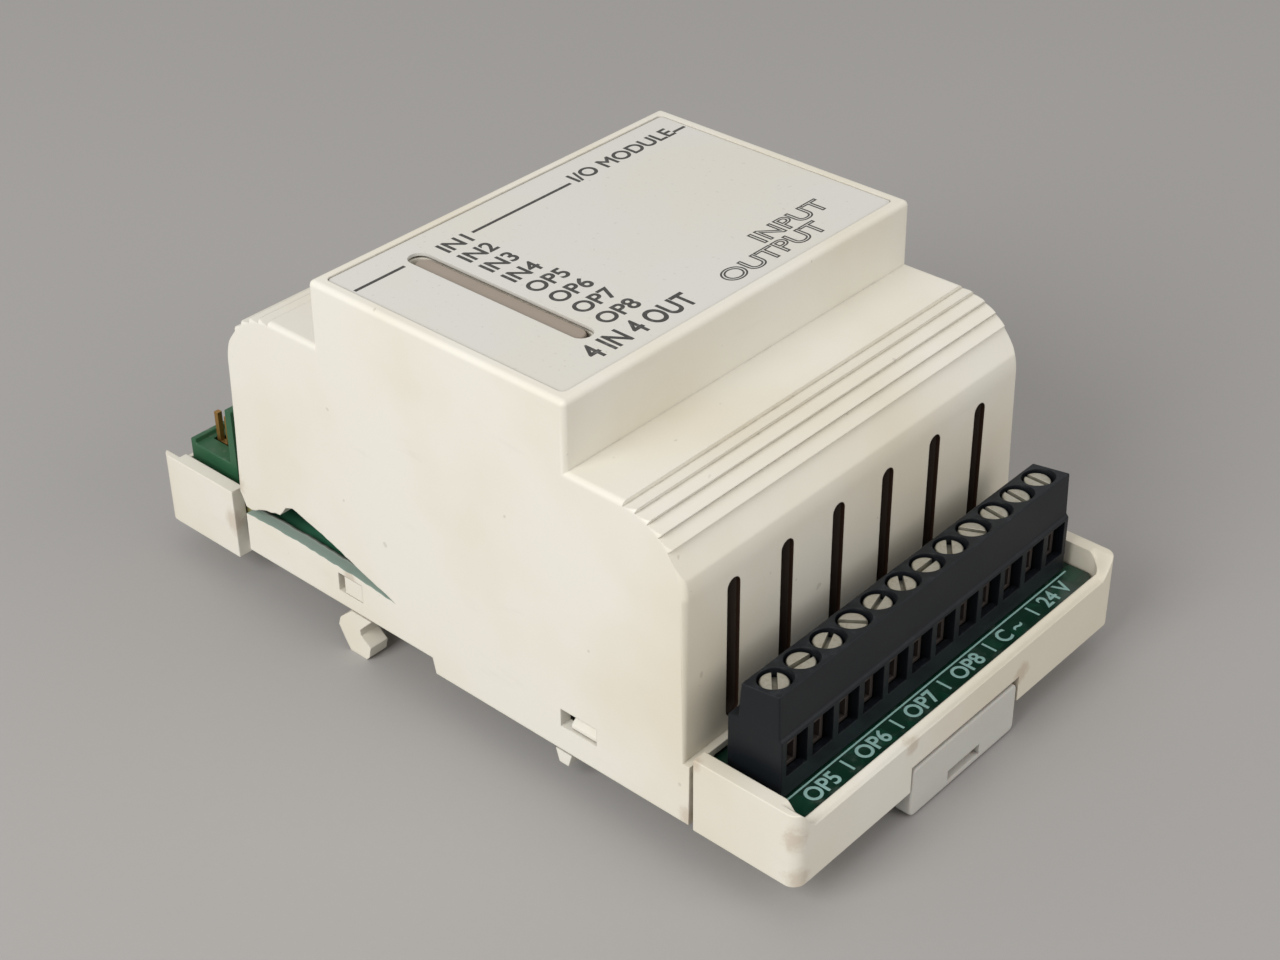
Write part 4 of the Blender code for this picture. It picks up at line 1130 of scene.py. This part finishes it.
def build_label(case):
    edge, nose = case.label_border + GAP, case.nose_half_length
    outline = rounded_rectangle(
        (edge - nose_half_width(), edge - nose), (nose_half_width() - edge, nose - edge),
        0.8 * MM,
    )
    low, top = corner("label_plate", 0, "Z"), corner("label_plate", 1, "Z")
    shape = bmesh.new()
    add_prism(shape, outline, "Z", low, top - 0.02 * MM)
    mark_edges(shape, lambda first, second: near(first.z, second.z) and first.z > low + 0.1 * MM)
    plate = Workpiece("label_film_plate", as_mesh(shape, "label_film_plate"))
    plate.round_edges(0.12 * MM, 2)
    plate.cut(
        prism("slot_in_label", slot_outline(case.slot_width / 2), "Z", low - 1 * MM, top + 1 * MM)
    )
    plate.finish(label_film(case), "base", "label", "label_plate")

    # Words and rules, all generic: x, y of the start, letter height, width, outline.
    lines = []
    channels_x, first_y, spacing = -17.2 * MM, 14.15 * MM, 4.0 * MM
    for channel in range(8):
        word = f"IN{channel + 1}" if channel < 4 else f"OP{channel + 1}"
        lines.append((word, channels_x, first_y - channel * spacing, 2.6 * MM, 1.0, 0.0))
    lines.append(("4 IN 4 OUT", -24.0 * MM, -18.6 * MM, 3.3 * MM, 0.80, 0.0))
    lines.append(("I/O MODULE", 8.7 * MM, 15.3 * MM, 2.5 * MM, 1.02, 0.0))
    lines.append(("INPUT", 11.6 * MM, -15.2 * MM, 3.0 * MM, 1.18, 0.12 * MM))
    lines.append(("OUTPUT", 0.9 * MM, -18.9 * MM, 3.0 * MM, 1.18, 0.12 * MM))
    ink = print_ink("label_ink", case.ink)
    lettering("label_words", lines, top - 0.015 * MM, ink, "base", "label")

    shape = bmesh.new()
    for start, end in ((-31.8, -23.2), (-11.0, 7.9), (29.4, 31.8)):
        add_box(
            shape, (start * MM, 15.6 * MM, top - 0.03 * MM), (end * MM, 16.1 * MM, top)
        )
    rules = show("label_rules", as_mesh(shape, "label_rules"))
    rules.data.materials.append(ink)
    hang(rules, "base", "label")


def build_lights(case):
    """The smoked guide in the nose's slot, and the lamps on their upright board."""
    low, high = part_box("light_guide")
    half = case.slot_width / 2 - GAP
    middle = (low[1] + high[1]) / 2
    reach = (high[1] - low[1]) / 2
    shape = bmesh.new()
    bar = [
        (LIGHT_X + x, middle + y)
        for x, y in arc((0.0, reach - half), half, 0, 180, 12)
        + arc((0.0, half - reach), half, 180, 360, 12)
    ]
    add_prism(shape, bar, "Z", low[2] + 1.6 * MM, high[2])
    mark_edges(shape, lambda first, second: near(first.z, high[2]) and near(second.z, high[2]))
    guide = Workpiece("smoked_light_guide", as_mesh(shape, "smoked_light_guide"))
    guide.round_edges(0.25 * MM, 3)
    flange = rounded_rectangle(
        (LIGHT_X - half - 1.6 * MM, middle - reach), (LIGHT_X + half + 1.6 * MM, middle + reach),
        0.8 * MM,
    )
    guide.join(prism("guide_flange", flange, "Z", low[2], low[2] + 1.8 * MM))
    guide.finish(smoked_guide(case), "base", "light_guide", "light_guide")

    lens = plain_moulding("lamp_lens", srgb(176, 52, 38), 0.18, dust=0.1)
    for lamp in range(8):
        keep(f"led_{lamp + 1}", lens, 0.35 * MM, 4)


# --------------------------------------------------------------------------
# Terminals
# --------------------------------------------------------------------------


def build_block(electric):
    front, back, ledge = BLOCK_FRONT, BLOCK_BACK, up(17.0)
    foot, top = corner("terminal_block", 0, "Z"), corner("terminal_block", 1, "Z")
    section = [
        (front, foot), (back, foot), (back, ledge + 0.2 * MM),
        (back - 1.6 * MM, ledge + 0.7 * MM), (back - 2.0 * MM, top - 0.9 * MM),
        (front + 0.6 * MM, top),
        (front + 0.4 * MM, ledge + 0.4 * MM), (front, ledge),
    ]
    shape = bmesh.new()
    add_prism(shape, section, "X", -BLOCK_HALF_WIDTH, BLOCK_HALF_WIDTH)

    def rounded(first, second):
        return min(first.z, second.z) > foot + 0.5 * MM or not near(first.z, second.z)

    mark_edges(shape, rounded)
    block = Workpiece("terminal_moulding", as_mesh(shape, "terminal_moulding"))
    block.round_edges(0.22 * MM, 3)

    entry_front, entry_back = SCREW_Y - 2.6 * MM, SCREW_Y + 2.6 * MM
    chamber = [
        (front - 1 * MM, up(ENTRY_LOW)), (entry_front, up(ENTRY_LOW)),
        (entry_front, up(CHAMBER_LOW)), (entry_back, up(CHAMBER_LOW)),
        (entry_back, up(CHAMBER_TOP)), (entry_front, up(CHAMBER_TOP)),
        (entry_front, up(ENTRY_TOP)), (front - 1 * MM, up(ENTRY_TOP)),
    ]
    shape = bmesh.new()
    for x in POLE_X:
        add_prism(shape, chamber, "X", x - 2.0 * MM, x + 2.0 * MM)
    block.cut(as_mesh(shape, "wire_entries"))

    seat = corner("terminal_screw_01", 1, "Z") - SCREW_HEAD_HEIGHT - GAP
    reach = electric.screw_radius + GAP
    bore = [
        (electric.shaft_radius + GAP, up(CHAMBER_TOP - 0.5)),
        (electric.shaft_radius + GAP, seat),
        (reach, seat), (reach, up(22.9)), (reach + 0.25 * MM, up(23.7)),
        (reach + 0.25 * MM, up(26)),
    ]
    shape = bmesh.new()
    for x in POLE_X:
        add_turned(shape, bore, (x, SCREW_Y))
    block.cut(as_mesh(shape, "screw_bores"))
    block.finish(block_plastic(electric), "base", "terminal", "terminal_block")


def build_screws(electric):
    """One slotted cheese-head screw for each pole, each turned by its own amount."""
    paint = nickel_plate(electric)
    turn = random.Random(8)
    top = corner("terminal_screw_01", 1, "Z")
    tip = corner("terminal_screw_01", 0, "Z")
    radius, shaft, half = electric.screw_radius, electric.shaft_radius, electric.slot_width / 2
    head = top - SCREW_HEAD_HEIGHT
    for pole, x in enumerate(POLE_X):
        angle = turn.uniform(0.0, math.pi)
        shape = bmesh.new()
        profile = [(shaft - 0.25 * MM, tip), (shaft, tip + 0.3 * MM)]
        # Thread rings on the shaft.
        rings = 7
        for ring in range(rings):
            low = tip + 0.3 * MM + (head - tip - 1.2 * MM) * ring / rings
            profile += [(shaft - 0.14 * MM, low + 0.35 * MM), (shaft, low + 0.7 * MM)]
        profile += [(shaft, head), (radius - 0.1 * MM, head), (radius, head + 0.1 * MM)]
        profile += [
            (radius - 0.28 * MM + r, top - 0.28 * MM + z)
            for r, z in arc((0.0, 0.0), 0.28 * MM, 0, 90, 6)
        ]
        add_turned(shape, profile, (0.0, 0.0), 48)
        name = f"slotted_screw_{pole + 1:02d}"
        screw = Workpiece(name, as_mesh(shape, name))
        screw.cut(
            box("screw_slot", (-3 * MM, -half, top - 0.9 * MM), (3 * MM, half, top + 1 * MM))
        )
        for item in (screw.shape, *screw.helpers):
            item.data.transform(
                Matrix.Translation((x, SCREW_Y, 0.0)) @ Matrix.Rotation(angle, 4, "Z")
            )
        node = f"terminal_screw_{pole + 1:02d}"
        screw.finish(paint, f"screw_{pole + 1:02d}", "screw", node)


def build_clamps():
    zinc = plain_moulding("zinc_steel", srgb(92, 84, 80), 0.45, metallic=0.6)
    for pole in range(POLES):
        keep(f"wire_clamp_{pole + 1:02d}", zinc, 0.12 * MM)


# --------------------------------------------------------------------------
# The board and what stands on it
# --------------------------------------------------------------------------


def build_board(electric):
    half_width, half_length = corner("main_board", 1, "X"), corner("main_board", 1, "Y")
    low = corner("main_board", 0, "Z")
    inset = TAB_OUTER - 1.6 * MM
    chamfer = 1.2 * MM
    right = [(half_width - chamfer, -half_length), (half_width, -half_length + chamfer)]
    for centre, length, _, _ in SNAPS:
        start, end = (centre - length / 2 - 0.3) * MM, (centre + length / 2 + 0.3) * MM
        right += [(half_width, start), (inset, start), (inset, end), (half_width, end)]
    right += [(half_width, half_length - chamfer), (half_width - chamfer, half_length)]
    outline = right + [(-x, y) for x, y in reversed(right)]
    board = Workpiece("green_board", prism("green_board", outline, "Z", low, BOARD_TOP_Z))
    # Holes for the screws of the tray's middle posts.
    shape = bmesh.new()
    hole = [(1.4 * MM, low - 1 * MM), (1.4 * MM, BOARD_TOP_Z + 1 * MM)]
    for x in (-POST_X, POST_X):
        add_turned(shape, hole, (x, 0.0), 28)
    board.cut(as_mesh(shape, "board_holes"))
    board.finish(solder_resist(electric), "base", "board", "main_board")

    words = []
    height = electric.legend_height
    names = ("OP5", "OP6", "OP7", "OP8", "C ~", "24 V")
    pitch = POLE_X[1] - POLE_X[0]
    legend_y = -half_length + 1.05 * MM
    for pair, word in enumerate(names):
        words.append((word, POLE_X[2 * pair] - 0.4 * MM, legend_y, height, 0.98, 0.0))
    ink = print_ink("board_legend_ink", electric.legend, 0.25)
    lettering("board_legend", words, BOARD_TOP_Z + 0.015 * MM, ink, "base", "board")

    # A printed line along the foot of the terminal block, and bars between the words.
    low, high = BOARD_TOP_Z + 0.005 * MM, BOARD_TOP_Z + 0.03 * MM
    shape = bmesh.new()
    add_box(
        shape, (-BLOCK_HALF_WIDTH, BLOCK_FRONT - 0.5 * MM, low),
        (BLOCK_HALF_WIDTH, BLOCK_FRONT - 0.25 * MM, high),
    )
    for pair in range(1, len(names)):
        x = POLE_X[2 * pair] - pitch / 2
        add_box(
            shape, (x - 0.17 * MM, legend_y, low), (x + 0.17 * MM, legend_y + height, high)
        )
    lines = show("block_outline", as_mesh(shape, "block_outline"))
    lines.data.materials.append(ink)
    hang(lines, "base", "board")


def build_board_parts(electric):
    """Relays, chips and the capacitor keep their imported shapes, with round edges."""
    relay = plain_moulding("relay_case", srgb(34, 27, 23), 0.45, dust=0.02)
    for number in range(4):
        keep(f"relay_{number + 1}", relay, 0.4 * MM, 3)
    chip = plain_moulding("chip_epoxy", srgb(24, 24, 26), 0.5)
    keep("controller_chip", chip, 0.25 * MM, 2)
    keep("input_isolator", chip, 0.25 * MM, 2)
    sleeve = plain_moulding("capacitor_sleeve", srgb(30, 52, 96), 0.25)
    keep("filter_capacitor", sleeve, 0.6 * MM, 4)
    keep("led_board", solder_resist(electric), 0.1 * MM)


def build_header(electric):
    """The green header, and the contacts that stand in it."""
    foot, top = corner("input_header", 0, "Z"), corner("input_header", 1, "Z")
    outer, inner = HEADER_OUTER, HEADER_INNER
    section = [
        (inner, foot), (outer, foot), (outer, up(13.4)), (outer - 0.9 * MM, up(13.4)),
        (outer - 1.1 * MM, up(12.7)), (inner + 1.6 * MM, up(12.7)), (inner + 1.4 * MM, top),
        (inner, top),
    ]
    shape = bmesh.new()
    add_prism(shape, section, "X", -HEADER_HALF_WIDTH, HEADER_HALF_WIDTH)
    mark_edges(shape, lambda first, second: min(first.z, second.z) > foot + 0.5 * MM)
    header = Workpiece("green_header", as_mesh(shape, "green_header"))
    header.round_edges(0.18 * MM, 2)
    contact_y = (corner("header_contact_01", 0, "Y") + corner("header_contact_01", 1, "Y")) / 2
    shape = bmesh.new()
    for x in POLE_X:
        add_box(
            shape, (x - 0.8 * MM, contact_y - 1.9 * MM, up(11.4)),
            (x + 0.8 * MM, contact_y + 1.9 * MM, up(15)),
        )
    # Keying grooves down the tall wall.
    for x in POLE_X:
        add_box(
            shape, (x - 0.35 * MM, inner + 1.1 * MM, up(14.2)),
            (x + 0.35 * MM, inner + 2.2 * MM, top + 1 * MM),
        )
    header.cut(as_mesh(shape, "contact_pockets"))
    paint = plain_moulding("header_moulding", electric.header, 0.38, dust=0.35)
    header.finish(paint, "base", "header", "input_header")

    brass = plain_moulding("dull_brass", srgb(158, 122, 66), 0.34, 0.15, metallic=0.75)
    for pole in range(POLES):
        keep(f"header_contact_{pole + 1:02d}", brass, 0.1 * MM)


def build_latch(case):
    """The sliding rail latch: handle, bar and claw in one."""
    low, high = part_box("rail_latch")
    front = low[1]
    handle = rounded_rectangle((low[0], low[2]), (high[0], high[2]), 1.0 * MM)
    shape = bmesh.new()
    add_prism(shape, handle, "Y", front, front + 2.3 * MM)
    mark_edges(shape, lambda first, second: near(first.y, front) and near(second.y, front))
    latch = Workpiece("nylon_latch", as_mesh(shape, "nylon_latch"))
    latch.round_edges(0.35 * MM, 4)
    claw = [
        (front + 1.0 * MM, up(-3.2)), (front + 1.0 * MM, up(-0.3)), (-17.8 * MM, up(-0.3)),
        (-17.8 * MM, up(-1.3)), (-15.6 * MM, up(-1.6)), (-16.9 * MM, up(-3.2)),
    ]
    latch.join(prism("latch_bar", claw, "X", -7 * MM, 7 * MM))
    latch.cut(
        box(
            "tool_slot", (-3.5 * MM, front - 1 * MM, up(-3.6)),
            (3.5 * MM, front + 1.2 * MM, up(-2.0)),
        )
    )
    latch.finish(natural_nylon(case), "latch", "latch", "rail_latch")


# --------------------------------------------------------------------------
# The stage
# --------------------------------------------------------------------------


def aim(obj, target):
    direction = Vector(target) - obj.location
    obj.rotation_euler = direction.to_track_quat("-Z", "Y").to_euler()


def add_light(name, place, target, power, width, tint):
    lamp = bpy.data.lights.new(name, "AREA")
    lamp.shape = "DISK"
    lamp.size = width
    lamp.energy = power
    lamp.color = tint
    made = show(name, lamp)
    made.location = place
    aim(made, target)


def build_stage(stage):
    scene = bpy.context.scene
    shape = bmesh.new()
    bmesh.ops.create_grid(shape, x_segments=2, y_segments=2, size=3.0)
    floor = show("studio_floor", as_mesh(shape, "studio_floor"))
    floor.data.materials.append(floor_finish(stage))

    world = bpy.data.worlds.new("studio_sky")
    world.use_nodes = True
    scene.world = world
    sky = world.node_tree.nodes["Background"]
    sky.inputs["Color"].default_value = (1.0, 0.985, 0.96, 1.0)
    sky.inputs["Strength"].default_value = stage.sky

    middle = (0.0, 0.0, 0.03)
    add_light("key_light", (-0.70, 0.02, 0.50), middle, stage.key, 0.55, (1.0, 0.992, 0.972))
    add_light("fill_light", (0.25, -0.85, 0.55), middle, stage.fill, 0.7, (1.0, 0.97, 0.93))

    scene.view_settings.view_transform = "Standard"

    camera = bpy.data.cameras.new("studio_camera")
    camera.lens = stage.focal
    camera.sensor_width = 36.0
    camera.shift_x = -0.0020
    camera.shift_y = -0.0369
    camera.clip_start = 0.005
    made = show("studio_camera", camera)
    heading, tilt, roll = -47.88, 56.96, -0.66
    turned = (
        Matrix.Rotation(math.radians(heading), 4, "Z")
        @ Matrix.Rotation(math.radians(tilt), 4, "X")
        @ Matrix.Rotation(math.radians(roll), 4, "Z")
    )
    made.matrix_world = Matrix.Translation((-0.1898, -0.1757, 0.1958)) @ turned
    scene.camera = made


# --------------------------------------------------------------------------
# Operators, panel and main
# --------------------------------------------------------------------------


class BuildCover(bpy.types.Operator):
    """Build the vented cover with its stepped shoulders"""

    bl_idname = "rail_module.build_cover"
    bl_label = "Cover"

    def execute(self, context):
        build_cover(context.scene.rail_module_case)
        return {"FINISHED"}


class BuildTray(bpy.types.Operator):
    """Build the tray with its end blocks, hooks and catches"""

    bl_idname = "rail_module.build_tray"
    bl_label = "Tray"

    def execute(self, context):
        build_tray(context.scene.rail_module_case)
        return {"FINISHED"}


class BuildLabel(bpy.types.Operator):
    """Build the label plate and its print"""

    bl_idname = "rail_module.build_label"
    bl_label = "Label"

    def execute(self, context):
        build_label(context.scene.rail_module_case)
        return {"FINISHED"}


class BuildLights(bpy.types.Operator):
    """Build the light guide and finish the lamps"""

    bl_idname = "rail_module.build_lights"
    bl_label = "Lights"

    def execute(self, context):
        build_lights(context.scene.rail_module_case)
        return {"FINISHED"}


class BuildBlock(bpy.types.Operator):
    """Build the terminal block"""

    bl_idname = "rail_module.build_block"
    bl_label = "Terminal block"

    def execute(self, context):
        build_block(context.scene.rail_module_electric)
        return {"FINISHED"}


class BuildScrews(bpy.types.Operator):
    """Build the terminal screws"""

    bl_idname = "rail_module.build_screws"
    bl_label = "Terminal screws"

    def execute(self, context):
        build_screws(context.scene.rail_module_electric)
        return {"FINISHED"}


class BuildClamps(bpy.types.Operator):
    """Finish the wire clamps"""

    bl_idname = "rail_module.build_clamps"
    bl_label = "Wire clamps"

    def execute(self, context):
        build_clamps()
        return {"FINISHED"}


class BuildBoard(bpy.types.Operator):
    """Build the board and its legend"""

    bl_idname = "rail_module.build_board"
    bl_label = "Board"

    def execute(self, context):
        build_board(context.scene.rail_module_electric)
        return {"FINISHED"}


class BuildBoardParts(bpy.types.Operator):
    """Finish the relays, the chips and the capacitor"""

    bl_idname = "rail_module.build_board_parts"
    bl_label = "Board parts"

    def execute(self, context):
        build_board_parts(context.scene.rail_module_electric)
        return {"FINISHED"}


class BuildHeader(bpy.types.Operator):
    """Build the header and finish its contacts"""

    bl_idname = "rail_module.build_header"
    bl_label = "Header"

    def execute(self, context):
        build_header(context.scene.rail_module_electric)
        return {"FINISHED"}


class BuildLatch(bpy.types.Operator):
    """Build the rail latch"""

    bl_idname = "rail_module.build_latch"
    bl_label = "Rail latch"

    def execute(self, context):
        build_latch(context.scene.rail_module_case)
        return {"FINISHED"}


class BuildStage(bpy.types.Operator):
    """Build the floor, the lights and the camera"""

    bl_idname = "rail_module.build_stage"
    bl_label = "Stage"

    def execute(self, context):
        build_stage(context.scene.rail_module_stage)
        return {"FINISHED"}


BUILDERS = (
    BuildCover, BuildTray, BuildLabel, BuildLights, BuildBlock, BuildScrews, BuildClamps,
    BuildBoard, BuildBoardParts, BuildHeader, BuildLatch, BuildStage,
)


class RailModulePanel(bpy.types.Panel):
    """Lists the builders in the sidebar"""

    bl_idname = "VIEW3D_PT_rail_module"
    bl_label = "Rail Module"
    bl_space_type = "VIEW_3D"
    bl_region_type = "UI"
    bl_category = "Rail Module"

    def draw(self, context):
        for group in ("rail_module_case", "rail_module_electric", "rail_module_stage"):
            settings = getattr(context.scene, group)
            for name in settings.__annotations__:
                self.layout.prop(settings, name)
        for builder in BUILDERS:
            self.layout.operator(builder.bl_idname)


CLASSES = (CaseSettings, ElectricSettings, StageSettings, *BUILDERS, RailModulePanel)


def register():
    for cls in CLASSES:
        bpy.utils.register_class(cls)
    bpy.types.Scene.rail_module_case = bpy.props.PointerProperty(type=CaseSettings)
    bpy.types.Scene.rail_module_electric = bpy.props.PointerProperty(type=ElectricSettings)
    bpy.types.Scene.rail_module_stage = bpy.props.PointerProperty(type=StageSettings)


def unregister():
    del bpy.types.Scene.rail_module_stage
    del bpy.types.Scene.rail_module_electric
    del bpy.types.Scene.rail_module_case
    for cls in reversed(CLASSES):
        bpy.utils.unregister_class(cls)


def main():
    register()
    for builder in BUILDERS:
        group, name = builder.bl_idname.split(".")
        getattr(getattr(bpy.ops, group), name)()


if __name__ == "__main__":
    main()
